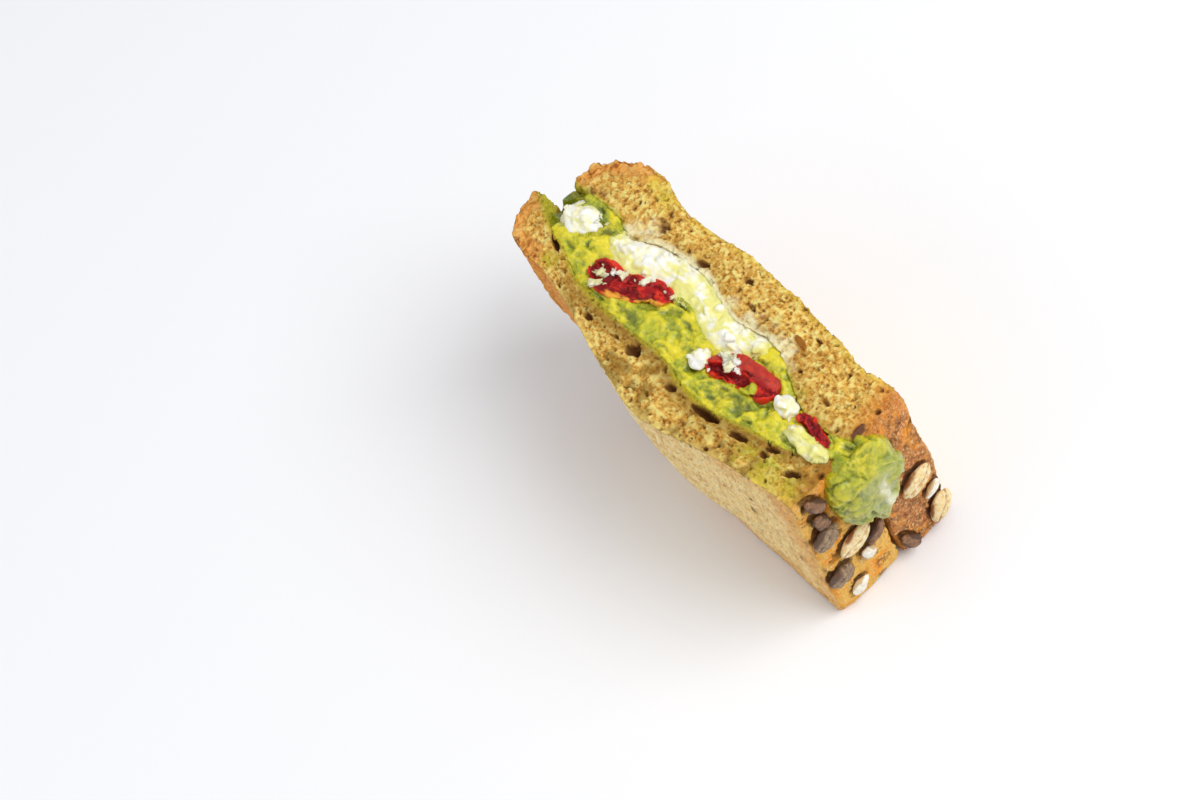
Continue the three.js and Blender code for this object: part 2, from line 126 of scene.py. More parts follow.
def line_through(knots: Sequence[Sequence[float]]) -> Line:
    """A smooth line through (x, y) knots that stays level past its ends.

    Args:
        knots: the points that the line passes, in order of x.

    Returns:
        A function that gives y for an array of x.
    """
    xs, ys = np.array(knots, float).T
    slopes = np.diff(ys) / np.diff(xs)
    inner = (ys[2:] - ys[:-2]) / (xs[2:] - xs[:-2])
    tangents = np.concatenate([slopes[:1], inner, slopes[-1:]])

    def at(x: Array) -> Array:
        """The height of the line at x."""
        x = np.clip(x, xs[0], xs[-1])
        i = np.clip(np.searchsorted(xs, x, side="right") - 1, 0, len(xs) - 2)
        span = xs[i + 1] - xs[i]
        t = (x - xs[i]) / span
        start = (1 + 2 * t) * (1 - t) ** 2 * ys[i] + t * (1 - t) ** 2 * span * tangents[i]
        end = t * t * (3 - 2 * t) * ys[i + 1] - t * t * (1 - t) * span * tangents[i + 1]
        return start + end

    return at


def unevenness(points: Array, size: float, phase: float = 0.0) -> Array:
    """A smooth unevenness of about one unit, with features of about the given size."""
    x, y, z = points.T
    k = 2 * math.pi / size
    along = np.sin(k * x + 1.7 * np.sin(0.61 * k * z + phase) + phase)
    across = np.sin(0.83 * k * y + 1.3 * np.sin(0.47 * k * x + 2 * phase))
    up = np.sin(0.71 * k * z + 1.1 * np.sin(0.53 * k * y + 3 * phase))
    return (along + across + up) / 3


# -------- fields in space


def hashed(cells: Array, seed: int, count: int) -> Array:
    """Random numbers from 0 to 1 that depend only on whole-number cells and a seed.

    Args:
        cells: whole-number cell coordinates, three to a row.
        seed: which stream of numbers to give.
        count: how many numbers each cell gets.

    Returns:
        One row of count numbers for each row of cells.
    """
    c = cells.astype(np.int64)
    base = (c[:, 0] * 73856093) ^ (c[:, 1] * 19349663) ^ (c[:, 2] * 83492791)
    state = (base + seed * 2654435761) & 0xFFFFFFFF
    out = np.empty((len(cells), count))
    for i in range(count):
        state = (state + 0x9E3779B9) & 0xFFFFFFFF
        mixed = state ^ (state >> 16)
        mixed = (mixed * 0x21F0AAAD) & 0xFFFFFFFF
        mixed ^= mixed >> 15
        mixed = (mixed * 0x735A2D97) & 0xFFFFFFFF
        out[:, i] = (mixed ^ (mixed >> 15)) / 2 ** 32
    return out


def grain(points: Array, size: float, seed: int = 0) -> Array:
    """Smooth random noise from -1 to 1 with features of about the given size."""
    scaled = points / size
    cell = np.floor(scaled)
    t = scaled - cell
    t = t * t * (3 - 2 * t)
    total = np.zeros(len(points))
    for corner in np.ndindex(2, 2, 2):
        offset = np.array(corner)
        weight = np.prod(np.where(offset, t, 1 - t), axis=1)
        total += weight * hashed(cell + offset, seed, 1)[:, 0]
    return 2 * total - 1


def layered_grain(points: Array, size: float, octaves: int, seed: int = 0) -> Array:
    """Noise of several sizes, each half as large and half as strong as the one before."""
    total = np.zeros(len(points))
    for i in range(octaves):
        total += grain(points + 17.3 * i, size / 2 ** i, seed + i) / 2 ** i
    return total / (2 - 2.0 ** (1 - octaves))


def pushes(points: Array, size: float, octaves: int, seeds: Sequence[int]) -> Array:
    """Noise along each of the three axes, with a seed for each."""
    return np.stack([layered_grain(points, size, octaves, seed) for seed in seeds], axis=1)


def warped(points: Array, size: float, amount: float, seed: int) -> Array:
    """Points pushed about by noise, which makes round features ragged."""
    return points + amount * pushes(points, size, 1, range(seed, seed + 3))


@dataclass(frozen=True)
class Crags:
    """Sharp relief: its height, the size of its features, its seed, squeeze and octaves."""

    height: float
    size: float
    seed: int
    squeeze: Triple = (1, 1, 1)
    octaves: int = 3

    def at(self, points: Array) -> Array:
        """How high the relief is at each point."""
        noise = layered_grain(points * self.squeeze, self.size, self.octaves, self.seed)
        return self.height * np.abs(noise)


@dataclass(frozen=True)
class Bubbles:
    """Round hollows scattered through a body, which open where its surface cuts them.

    Attributes:
        spacing: size of the cells that hold one hollow each.
        radii: smallest and largest radius.
        share: share of the cells that hold a hollow.
        stretch: how much longer the hollows are along each axis.
        seed: which arrangement.
    """

    spacing: float
    radii: tuple[float, float]
    share: float
    stretch: Triple = (1.0, 1.0, 1.0)
    seed: int = 0

    def depth(self, points: Array, inward: Array) -> Array:
        """How far each surface point has to go inward to leave the hollows that it is in."""
        stretch = np.array(self.stretch)
        p = points / stretch
        ray = inward / stretch
        scale = np.linalg.norm(ray, axis=1)
        ray = ray / scale[:, None]
        home = np.floor(p / self.spacing)
        deepest = np.zeros(len(p))
        for offset in np.ndindex(3, 3, 3):
            cell = home + np.array(offset) - 1
            draw = hashed(cell, self.seed, 5)
            centre = (cell + draw[:, :3]) * self.spacing
            low, high = self.radii
            radius = (low + (high - low) * draw[:, 3] ** 2) * (draw[:, 4] < self.share)
            gap = p - centre
            along = np.einsum("ij,ij->i", gap, ray)
            inside = radius ** 2 - np.einsum("ij,ij->i", gap, gap)
            reach = np.sqrt(np.maximum(along ** 2 + inside, 0)) - along
            deepest = np.maximum(deepest, np.where(inside > 0, reach, 0))
        return deepest / scale


# -------- meshes


def grid_box(facets: tuple[int, int, int]) -> Facets:
    """A unit box whose faces are cut into a grid.

    Args:
        facets: how many facets lie along X, Y and Z.

    Returns:
        The box from 0 to 1 on each axis, as a bmesh.
    """
    bm = bmesh.new()
    bmesh.ops.create_cube(bm, size=1.0)
    bmesh.ops.translate(bm, verts=bm.verts, vec=(0.5, 0.5, 0.5))
    for axis, count in enumerate(facets):
        edges = [
            edge for edge in bm.edges
            if abs(edge.verts[0].co[axis] - edge.verts[1].co[axis]) > 0.5
        ]
        bmesh.ops.subdivide_edges(bm, edges=edges, cuts=count - 1, use_grid_fill=True)
    return bm


def coordinates(mesh: Mesh) -> Array:
    """A mesh's vertex coordinates, three to a row."""
    flat = np.empty(len(mesh.vertices) * 3, np.float32)
    mesh.vertices.foreach_get("co", flat)
    return flat.reshape(-1, 3).astype(float)


def normals(mesh: Mesh) -> Array:
    """A mesh's vertex normals, three to a row."""
    flat = np.empty(len(mesh.vertices) * 3, np.float32)
    mesh.vertex_normals.foreach_get("vector", flat)
    return flat.reshape(-1, 3).astype(float)


def place_vertices(mesh: Mesh, points: Array) -> None:
    """Moves a mesh's vertices to the given points."""
    mesh.vertices.foreach_set("co", points.astype(np.float32).ravel())
    mesh.update()


def loaf_places(mesh: Mesh) -> Array:
    """A mesh's vertices in the loaf's frame, in millimetres."""
    return coordinates(mesh) / MM + MIDDLE


def move_to(mesh: Mesh, place: Array) -> None:
    """Moves a mesh's vertices to places in the loaf's frame."""
    place_vertices(mesh, (place - MIDDLE) * MM)


def paint(mesh: Mesh, **masks: Array) -> None:
    """Stores numbers from 0 to 1 on the vertices, which the mesh's material reads by name."""
    for name, values in masks.items():
        layer = mesh.attributes.new(name, "FLOAT", "POINT")
        layer.data.foreach_set("value", np.clip(values, 0, 1).astype(np.float32))


def to_object(name: str, bm: Facets) -> Piece:
    """Turns a bmesh into an object of the scene, with smooth faces."""
    mesh = bpy.data.meshes.new(name)
    bm.to_mesh(mesh)
    bm.free()
    mesh.polygons.foreach_set("use_smooth", [True] * len(mesh.polygons))
    piece = bpy.data.objects.new(name, mesh)
    bpy.context.scene.collection.objects.link(piece)
    return piece


def finish_piece(piece: Piece, material: Material,
                 nodes: Sequence[str] = ()) -> Piece:
    """Trims a piece to the food's box, dresses it and hides the solids that it stands for.

    Args:
        piece: the finished object.
        material: the piece's finish.
        nodes: the solids that it replaces.

    Returns:
        The same object.
    """
    place_vertices(piece.data, np.clip(coordinates(piece.data), *CAD_BOX))
    piece.data.materials.clear()
    piece.data.materials.append(material)
    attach(piece, "root")
    if nodes:
        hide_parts(*nodes)
    LOG.info("%s: %d faces", piece.name, len(piece.data.polygons))
    return piece


# -------- node trees


class Shader:
    """A material's node tree, with short ways to add and join its nodes."""

    def __init__(self, name: str) -> None:
        """Starts an empty material with an output and a principled shader."""
        self.material = bpy.data.materials.new(name)
        self.material.use_nodes = True
        self.tree = self.material.node_tree
        self.tree.nodes.clear()
        self.out = self.add("ShaderNodeOutputMaterial")
        self.surface = self.add("ShaderNodeBsdfPrincipled")
        self.join(self.surface.outputs[0], self.out.inputs["Surface"])
        self.position = self.add("ShaderNodeTexCoord").outputs["Object"]

    def add(self, kind: str, **settings: object) -> bpy.types.Node:
        """Adds a node of a kind and sets its properties."""
        node = self.tree.nodes.new(kind)
        for key, value in settings.items():
            setattr(node, key, value)
        return node

    def join(self, source: Socket, target: Socket) -> None:
        """Joins an output to an input."""
        self.tree.links.new(source, target)

    def attribute(self, name: str) -> Socket:
        """A number painted on the vertices."""
        return self.add("ShaderNodeAttribute", attribute_name=name).outputs["Fac"]

    def noise(self, size_mm: float, detail: float = 4.0, rough: float = 0.55,
              stretch: Triple = (1, 1, 1), out: str = "Fac") -> Socket:
        """Noise from about 0 to 1 with features of the given size."""
        node = self.add("ShaderNodeTexNoise")
        node.inputs["Scale"].default_value = 1 / (size_mm * MM)
        node.inputs["Detail"].default_value = detail
        node.inputs["Roughness"].default_value = rough
        self.join(self.stretched(stretch), node.inputs["Vector"])
        return node.outputs[out]

    def ragged(self, size_mm: float, amount_mm: float) -> Socket:
        """Object coordinates pushed about by noise, for patterns with ragged edges."""
        push = self.add("ShaderNodeVectorMath", operation="MULTIPLY_ADD")
        push.inputs[1].default_value = (amount_mm * MM,) * 3
        self.join(self.noise(size_mm, 3, 0.6, out="Color"), push.inputs[0])
        self.join(self.position, push.inputs[2])
        return push.outputs[0]

    def cells(self, size_mm: float, vector: Socket | None = None) -> Socket:
        """The distance from the middles of scattered cells, in cells of the given size."""
        node = self.add("ShaderNodeTexVoronoi")
        node.inputs["Scale"].default_value = 1 / (size_mm * MM)
        self.join(vector or self.position, node.inputs["Vector"])
        return node.outputs["Distance"]

    def stretched(self, stretch: Triple) -> Socket:
        """Object coordinates with the pattern made longer along each axis."""
        if stretch == (1, 1, 1):
            return self.position
        node = self.add("ShaderNodeMapping")
        node.inputs["Scale"].default_value = [1 / s for s in stretch]
        self.join(self.position, node.inputs["Vector"])
        return node.outputs[0]

    def ramp(self, source: Socket, low: float, high: float,
             to_low: float = 0.0, to_high: float = 1.0) -> Socket:
        """Maps a number from low..high to to_low..to_high, and keeps it there."""
        node = self.add("ShaderNodeMapRange", clamp=True)
        for socket, value in zip(node.inputs[1:5], (low, high, to_low, to_high)):
            socket.default_value = value
        self.join(source, node.inputs[0])
        return node.outputs[0]

    def math(self, operation: str, a: Socket, b: Socket | float) -> Socket:
        """Joins two numbers by an operation."""
        node = self.add("ShaderNodeMath", operation=operation, use_clamp=True)
        self.join(a, node.inputs[0])
        if isinstance(b, (int, float)):
            node.inputs[1].default_value = b
        else:
            self.join(b, node.inputs[1])
        return node.outputs[0]

    def mix(self, share: Socket, a: Colour | Socket, b: Colour | Socket) -> Socket:
        """Mixes two colours, each an sRGB triple from 0 to 255 or another node's output."""
        node = self.add("ShaderNodeMix", data_type="RGBA")
        self.join(share, node.inputs[0])
        for socket, value in ((node.inputs[6], a), (node.inputs[7], b)):
            if isinstance(value, tuple):
                socket.default_value = linear(value)
            else:
                self.join(value, socket)
        return node.outputs[2]

    def bump(self, height: Socket, depth_mm: float, below: Socket | None = None) -> Socket:
        """A fine relief of the given height, on top of another where one is given."""
        node = self.add("ShaderNodeBump")
        node.inputs["Strength"].default_value = 1.0
        node.inputs["Distance"].default_value = depth_mm * MM
        self.join(height, node.inputs["Height"])
        if below is not None:
            self.join(below, node.inputs["Normal"])
        return node.outputs[0]

    def set(self, **values: object) -> None:
        """Sets constants on the principled shader, with _ in place of each space."""
        for key, value in values.items():
            self.surface.inputs[key.replace("_", " ")].default_value = value

    def finish(self, colour: Socket, relief: Socket, rough: Socket | None = None) -> None:
        """Joins the colour, the relief and the roughness to the shader."""
        self.join(colour, self.surface.inputs["Base Color"])
        self.join(relief, self.surface.inputs["Normal"])
        if rough is not None:
            self.join(rough, self.surface.inputs["Roughness"])


def linear(colour: Colour) -> tuple[float, float, float, float]:
    """An sRGB colour from 0 to 255 as scene-linear red, green, blue and alpha."""
    parts = [c / 255 for c in colour]
    parts = [c / 12.92 if c <= 0.04045 else ((c + 0.055) / 1.055) ** 2.4 for c in parts]
    return (*parts, 1.0)


# -------- finishes


@dataclass(frozen=True)
class BreadFinish:
    """Toasted multigrain bread: golden crumb, pale toasted face and brown crust."""

    crumb: Colour = (240, 186, 84)
    crumb_light: Colour = (255, 230, 136)
    crumb_dark: Colour = (176, 112, 42)
    # Painted shade in pores: the next colour darkens the deeper pits and the face's pores, and the
    # one after it the crumb's small pores.
    pore_shade: Colour = (128, 84, 40)
    hollow: Colour = (158, 98, 40)
    face: Colour = (255, 218, 146)
    face_light: Colour = (255, 242, 190)
    face_dark: Colour = (208, 154, 90)
    toast: Colour = (222, 134, 48)
    toast_light: Colour = (255, 186, 92)
    rust: Colour = (198, 120, 68)
    rust_light: Colour = (250, 192, 130)
    rust_dark: Colour = (108, 58, 38)
    tan: Colour = (255, 198, 92)
    tan_dark: Colour = (132, 76, 36)
    orange: Colour = (255, 162, 44)
    fleck: Colour = (254, 222, 160)
    dome: Colour = (236, 168, 80)
    dome_light: Colour = (250, 204, 120)
    dome_dark: Colour = (150, 88, 42)
    olive: Colour = (146, 106, 34)
    stain: Colour = (190, 184, 46)
    gold: Colour = (244, 212, 78)
    cream: Colour = (255, 246, 200)
    speck: Colour = (96, 66, 46)
    # Painted shade in the crevice round each seed on the crust.
    gap: Colour = (84, 50, 32)
    seed: Colour = (118, 76, 56)
    nut: Colour = (164, 104, 36)

    def material(self) -> Material:
        """The finish as a material that reads the slices' painted numbers."""
        s = Shader("toasted_bread")
        torn = s.ragged(1.0, 0.9)
        colour = s.mix(s.attribute("outer"), self.crumb_colour(s, torn), self.face_colour(s, torn))
        colour = s.mix(s.attribute("crust"), colour, self.crust_colour(s))
        toast = s.mix(s.ramp(s.noise(1.0, 6, 0.8), 0.48, 0.6), self.toast, self.toast_light)
        colour = s.mix(s.attribute("toast"), colour, toast)
        for name in ("olive", "stain", "gold"):
            colour = s.mix(s.attribute(name), colour, getattr(self, name))
        # Painted shade: darker where the pits are deeper.
        colour = s.mix(s.attribute("pit"), colour, self.pore_shade)
        # Real smears, specks and bare seeds, and the painted shade round the crust's seeds.
        for name in ("cream", "speck", "gap", "seed", "nut"):
            colour = s.mix(s.attribute(name), colour, getattr(self, name))
        bump = s.bump(s.noise(0.8, 6, 0.75), 0.45)
        bump = s.bump(s.ramp(s.cells(1.3, torn), 0.1, 0.45), 0.3, bump)
        s.finish(colour, bump, s.ramp(s.attribute("cream"), 0, 1, 0.9, 0.5))
        s.set(Specular_IOR_Level=0.2, Subsurface_Weight=0.08,
              Subsurface_Radius=(0.6, 0.35, 0.15), Subsurface_Scale=0.0015)
        return s.material

    def crumb_colour(self, s: Shader, torn: Socket) -> Socket:
        """Flaky golden crumb with painted shade in pores of many sizes and painted highlight on
        its raised flakes.
        """
        fine = s.noise(1.2, 6, 0.8)
        colour = s.mix(s.ramp(fine, 0.39, 0.49), self.crumb_dark, self.crumb)
        colour = s.mix(s.ramp(fine, 0.51, 0.6), colour, self.crumb_light)
        colour = s.mix(s.ramp(s.noise(6, 4), 0.5, 0.7, 0, 0.4), colour, self.crumb_dark)
        # Painted shade in the crumb's pores.
        pores = s.math("MULTIPLY", s.ramp(s.cells(1.6, torn), 0.22, 0.36, 0.95, 0),
                       s.ramp(s.noise(4, 3), 0.38, 0.56, 0.25, 1))
        colour = s.mix(pores, colour, self.hollow)
        # Lighter on the pale rim, and painted highlight on the raised flakes.
        return s.mix(s.attribute("flake"), colour, self.crumb_light)

    def face_colour(self, s: Shader, torn: Socket) -> Socket:
        """The pale toasted face, with fine fibres, browner patches and painted shade in its pores.
        """
        fine = s.noise(0.8, 6, 0.75, (1, 1, 2.4))
        colour = s.mix(s.ramp(fine, 0.34, 0.46), self.face_dark, self.face)
        colour = s.mix(s.ramp(fine, 0.48, 0.62), colour, self.face_light)
        browner = s.ramp(s.noise(4, 5, 0.7, (1, 1, 2)), 0.5, 0.66, 0, 0.6)
        colour = s.mix(browner, colour, self.face_dark)
        # Painted shade in the face's pores.
        pores = s.math("MULTIPLY", s.ramp(s.cells(2.4, torn), 0.12, 0.22, 0.7, 0),
                       s.ramp(s.noise(8, 3), 0.46, 0.6))
        return s.mix(pores, colour, self.pore_shade)

    def crust_colour(self, s: Shader) -> Socket:
        """Grainy rust-brown crust, tan with orange patches, or the dome's ridged brown."""
        grit = s.noise(0.8, 6, 0.85)
        patch = s.noise(3.2, 6, 0.72)
        wide = s.ramp(s.noise(7, 5, 0.65), 0.48, 0.58)
        flecks = s.math("MULTIPLY", s.ramp(s.cells(1.3, s.ragged(0.8, 0.7)), 0.2, 0.34, 0.9, 0),
                        s.ramp(s.noise(2.6, 4), 0.46, 0.56))
        rust = s.mix(wide, self.rust, self.orange)
        rust = s.mix(s.ramp(patch, 0.46, 0.58, 0, 0.9), rust, self.rust_dark)
        rust = s.mix(s.ramp(grit, 0.5, 0.6), rust, self.rust_light)
        rust = s.mix(s.ramp(grit, 0.38, 0.46, 1, 0), rust, self.rust_dark)
        tan = s.mix(wide, self.tan, self.orange)
        tan = s.mix(s.ramp(s.noise(4.4, 5, 0.66), 0.53, 0.59, 0, 0.75), tan, self.tan_dark)
        tan = s.mix(s.ramp(grit, 0.36, 0.44, 0.3, 0), tan, self.tan_dark)
        tan = s.mix(s.ramp(grit, 0.54, 0.62, 0, 0.9), tan, self.fleck)
        ridge = s.noise(2.0, 6, 0.72, (0.8, 1.8, 1.4))
        dome = s.mix(s.ramp(ridge, 0.46, 0.62), self.dome, self.dome_light)
        dome = s.mix(s.ramp(ridge, 0.38, 0.46, 1, 0), dome, self.dome_dark)
        colour = s.mix(flecks, s.mix(s.attribute("tan"), rust, tan), self.fleck)
        return s.mix(s.attribute("dome"), colour, dome)


@dataclass(frozen=True)
class AvocadoFinish:
    """Mashed avocado: moist yellow-green with yellow and green patches, a pale film, painted shade
    in its hollows, painted highlight on its ridges and painted glints.
    """

    flesh: Colour = (182, 188, 22)
    yellow: Colour = (240, 222, 26)
    green: Colour = (132, 148, 16)
    # Painted shade in the mash's hollows and at the dome end.
    dark: Colour = (88, 104, 12)
    film: Colour = (150, 162, 86)
    # Also the colour of the painted glints on the mash.
    milk: Colour = (232, 230, 196)

    def material(self) -> Material:
        """The finish as a material that reads the mash's painted numbers."""
        s = Shader("mashed_avocado")
        ripe = s.ramp(s.noise(5, 5, 0.62, (1.6, 1, 1)), 0.48, 0.56)
        colour = s.mix(ripe, self.flesh, self.yellow)
        colour = s.mix(s.ramp(s.noise(4.2, 5, 0.64, (1.4, 1, 1)), 0.5, 0.58), colour, self.green)
        colour = s.mix(s.ramp(s.noise(0.9, 5, 0.75), 0.5, 0.6, 0, 0.6), colour, self.yellow)
        # Yellower on the ridges: partly the flesh's own yellow, partly painted highlight.
        colour = s.mix(s.attribute("ridge"), colour, self.yellow)
        # Painted glints: pale specks of noise stand in for small wet highlights.
        colour = s.mix(s.ramp(s.noise(0.6, 4, 0.7), 0.6, 0.68, 0, 0.35), colour, self.milk)
        # Painted shade in the low folds, the dome end's hollow and over the dollop.
        colour = s.mix(s.attribute("deep"), colour, self.dark)
        colour = s.mix(s.attribute("film"), colour, self.film)
        colour = s.mix(s.attribute("milk"), colour, self.milk)
        s.finish(colour, s.bump(s.noise(1.2, 5, 0.65), 0.6),
                 s.ramp(s.noise(2, 4), 0.4, 0.6, 0.08, 0.36))
        s.set(Subsurface_Weight=0.35, Subsurface_Radius=(0.8, 1.0, 0.2), Subsurface_Scale=0.003,
              Specular_IOR_Level=0.6, Coat_Weight=0.3, Coat_Roughness=0.08)
        return s.material


@dataclass(frozen=True)
class CheeseFinish:
    """White crumbly cheese, tinted yellow where it touches the avocado."""

    white: Colour = (255, 253, 242)
    cream: Colour = (253, 243, 200)
    tint: Colour = (236, 230, 118)

    def material(self) -> Material:
        """The finish as a material that reads how much the avocado has stained it."""
        s = Shader("white_cheese")
        colour = s.mix(s.ramp(s.noise(3, 4, 0.6), 0.44, 0.6), self.white, self.cream)
        colour = s.mix(s.attribute("tint"), colour, self.tint)
        s.finish(colour, s.bump(s.noise(0.7, 5, 0.65), 0.2))
        s.set(Roughness=0.45, Subsurface_Weight=0.45, Subsurface_Radius=(1.0, 0.95, 0.75),
              Subsurface_Scale=0.002)
        return s.material


@dataclass(frozen=True)
class TomatoFinish:
    """Sun-dried tomato: dark, oily and wrinkled, with a bright rim, an orange skin and painted
    shade in its creases and hollow.
    """

    flesh: Colour = (164, 18, 24)
    bright: Colour = (222, 50, 28)
    # Dark patches, and painted shade in the creases and the sunken hollow.
    dark: Colour = (108, 6, 18)
    dusty: Colour = (196, 78, 62)
    skin: Colour = (246, 176, 62)
    mash: Colour = (190, 192, 52)

    def material(self) -> Material:
        """The finish as a material that reads the pieces' painted numbers."""
        s = Shader("dried_tomato")
        colour = s.mix(s.ramp(s.noise(2.4, 5, 0.65), 0.46, 0.6), self.flesh, self.bright)
        colour = s.mix(s.ramp(s.noise(1.7, 5, 0.68), 0.52, 0.66), colour, self.dark)
        # dark is painted shade in the creases and the hollow; the others are the piece's own
        # colours.
        for name in ("dark", "dusty", "bright", "skin", "mash"):
            colour = s.mix(s.attribute(name), colour, getattr(self, name))
        s.finish(colour, s.bump(s.noise(1.0, 5, 0.65, (2.2, 1, 1)), 0.4),
                 s.ramp(s.noise(2, 3), 0.4, 0.6, 0.14, 0.4))
        s.set(Subsurface_Weight=0.2, Subsurface_Radius=(1.0, 0.15, 0.1), Subsurface_Scale=0.0015,
              Specular_IOR_Level=0.2, Coat_Weight=0.1, Coat_Roughness=0.08)
        return s.material


@dataclass(frozen=True)
class SeedFinish:
    """A baked seed or kernel: its body, lighter streaks, dark spots and the skin on its rim."""

    name: str
    body: Colour
    light: Colour
    dark: Colour
    skin: Colour
    shine: float = 0.4

    def material(self) -> Material:
        """The finish as a material that reads where the skin is."""
        s = Shader(self.name)
        colour = s.mix(s.ramp(s.noise(1.1, 5, 0.7), 0.44, 0.6), self.body, self.light)
        colour = s.mix(s.ramp(s.noise(1.6, 5, 0.72), 0.54, 0.66), colour, self.dark)
        colour = s.mix(s.attribute("skin"), colour, self.skin)
        s.finish(colour, s.bump(s.noise(0.6, 5, 0.7), 0.3))
        s.set(Roughness=1 - self.shine)
        return s.material


# -------- the loaf's plan


@dataclass(frozen=True)
class Plan:
    """Places in the half loaf's plan, one to each element of the arrays.

    Attributes:
        x: place along the loaf.
        depth: depth below the cut face.
        end: 0 at the middle of the loaf and 1 at the dome or the base.
        down: 0 on the cut face and 1 at the side crust.
        reach: the larger of the two, which is 1 all round the crust.
        in_dome: whether the place is in the dome's part of the loaf.
    """

    x: Array
    depth: Array
    end: Array
    down: Array
    reach: Array
    in_dome: Array


@dataclass(frozen=True)
class Outline:
    """The outline of a layer in the loaf's plan."""

    dome_x: float
    base_x: float = BASE_X
    depth: float = SIDE_DEPTH
    dome_power: float = DOME_POWER
    corner_power: float = CORNER_POWER

    def place(self, u: Array, down: Array) -> Plan:
        """Places at a share u along the cut and a share down from it, within the outline."""
        across = self.dome_x + (self.base_x - self.dome_x) * u
        in_dome = across < CROWN_X
        span = np.where(in_dome, self.dome_x, self.base_x) - CROWN_X
        power = np.where(in_dome, self.dome_power, self.corner_power)
        end = (across - CROWN_X) / span
        reach = np.maximum(end, down)
        unit = np.maximum(reach, 1e-9)
        shrink = np.maximum((end / unit) ** power + (down / unit) ** power, 1) ** (-1 / power)
        x = CROWN_X + span * end * shrink
        return Plan(x, self.depth * down * shrink, end, down, reach, in_dome)


def openness(plan: Plan) -> Array:
    """How far open the slices are at a place: 1 on the cut face, 0 at the crust."""
    closing = plan.end ** END_CLOSING_POWER * np.minimum(1, END_CLOSING_RATE * plan.down)
    return np.maximum(0, 1 - plan.down ** CLOSING_POWER - closing)


# -------- the seeds' places


class SeedKind(Enum):
    """Kinds of seed on the crust: name, length, width, thickness and how knobbly they are."""

    PUMPKIN = ("pumpkin", 8.5, 7.0, 3.0, 0.6)
    KERNEL = ("kernel", 10.5, 6.8, 3.2, 0.24)
    FLAKE = ("flake", 6.2, 4.2, 1.8, 0.45)
    HUSK = ("husk", 8.4, 4.2, 2.2, 0.5)


@dataclass(frozen=True)
class SeedPlace:
    """A seed's place on a slice's crust and its turn from the vertical in degrees."""

    kind: SeedKind
    u: float
    v: float
    w: float
    turn: float


DARK_SEEDS = (SeedKind.HUSK, SeedKind.PUMPKIN)  # these taper, and lie in wide dark beds
SEED_SUNK = 0.25  # share of a seed's thickness that is baked into the crust
SIDE_SEEDS = 12
SIDE_SEED_FALL = 2.2  # how fast they thin out from the base towards the dome
SIDE_SEED_START = 0.95  # u of the first of them
SIDE_SEED_END = 0.2  # and of the last
CRUST_MARGIN = 0.2  # share of the slice's thickness that they keep from its edges
# How dark the painted shade round each seed is.
BED_SHADE = 0.75
BED_DEPTH = 1.1
BED_THICKNESS = 2.5  # how far from the crust a bed still marks it
WIDE_BED = 1.34  # reach of a dark seed's bed, as a share of the seed's own
NARROW_BED = 1.14

# Seeds of the base crusts: kind, depth below the cut, place across the slice and turn.
BOTTOM_BASE_SEEDS = (
    (SeedKind.HUSK, 5.5, 0.3, 30), (SeedKind.HUSK, 13.5, 0.27, 15),
    (SeedKind.PUMPKIN, 21.5, 0.23, -60), (SeedKind.KERNEL, 33, 0.53, -75),
    (SeedKind.HUSK, 38, 0.82, -40), (SeedKind.PUMPKIN, 43, 0.2, -40),
    (SeedKind.FLAKE, 44, 0.64, 30), (SeedKind.FLAKE, 54, 0.36, -66),
)
TOP_BASE_SEEDS = (
    (SeedKind.KERNEL, 32.5, 0.59, -60), (SeedKind.FLAKE, 43.5, 0.8, -66),
    (SeedKind.KERNEL, 53, 0.8, -36), (SeedKind.HUSK, 56.5, 0.16, 29),
)


def random_from(seed: int) -> Callable[[], float]:
    """A seeded random function of its own stream, from 0 to 1."""
    state = seed

    def draw() -> float:
        """The next number."""
        nonlocal state
        state = (state * 1664525 + 1013904223) % 2 ** 32
        return state / 2 ** 32

    return draw


def seed_places(base_seeds: Sequence[tuple], seed: int) -> list[SeedPlace]:
    """The seeds of a slice: those of its base crust, and more over its side crust."""
    draw = random_from(seed)
    places = [
        SeedPlace(kind, 1.0, 1 - depth / SIDE_DEPTH, w, turn)
        for kind, depth, w, turn in base_seeds
    ]
    kinds = list(SeedKind)
    for i in range(SIDE_SEEDS):
        share = ((i + draw()) / SIDE_SEEDS) ** SIDE_SEED_FALL
        u = SIDE_SEED_START + (SIDE_SEED_END - SIDE_SEED_START) * share
        w = CRUST_MARGIN + (1 - 2 * CRUST_MARGIN) * draw()
        places.append(SeedPlace(kinds[i % len(kinds)], u, 0.0, w, 180 * draw()))
    return places


# -------- the bread


@dataclass(frozen=True)
class Oval:
    """An oval on the cut face: its middle, half length, half width and turn in degrees."""

    x: float
    y: float
    length: float
    width: float
    turn: float

    def gap(self, place: Array) -> Array:
        """0 in the oval's middle and 1 on its rim, at each point."""
        turn = math.radians(self.turn)
        dx, dy = place[:, 0] - self.x, place[:, 1] - self.y
        along = (dx * math.cos(turn) + dy * math.sin(turn)) / self.length
        across = (dy * math.cos(turn) - dx * math.sin(turn)) / self.width
        return along ** 2 + across ** 2


@dataclass(frozen=True)
class Hole(Oval):
    """A torn hole in the cut face, with its depth."""

    depth: float

    def depth_at(self, place: Array) -> Array:
        """How deep the hole is at each point."""
        gap = self.gap(place) + 0.35 * grain(place, 1.1, 91)
        return self.depth * np.sqrt(np.clip(1 - gap, 0, 1))


@dataclass(frozen=True)
class Inlay(Oval):
    """A seed that the knife laid bare, with the name of its colour."""

    colour: str


@dataclass(frozen=True)
class Patch:
    """A ragged patch of one colour on the cut face: its middle, radius and strength."""

    colour: str
    x: float
    y: float
    radius: float
    strength: float


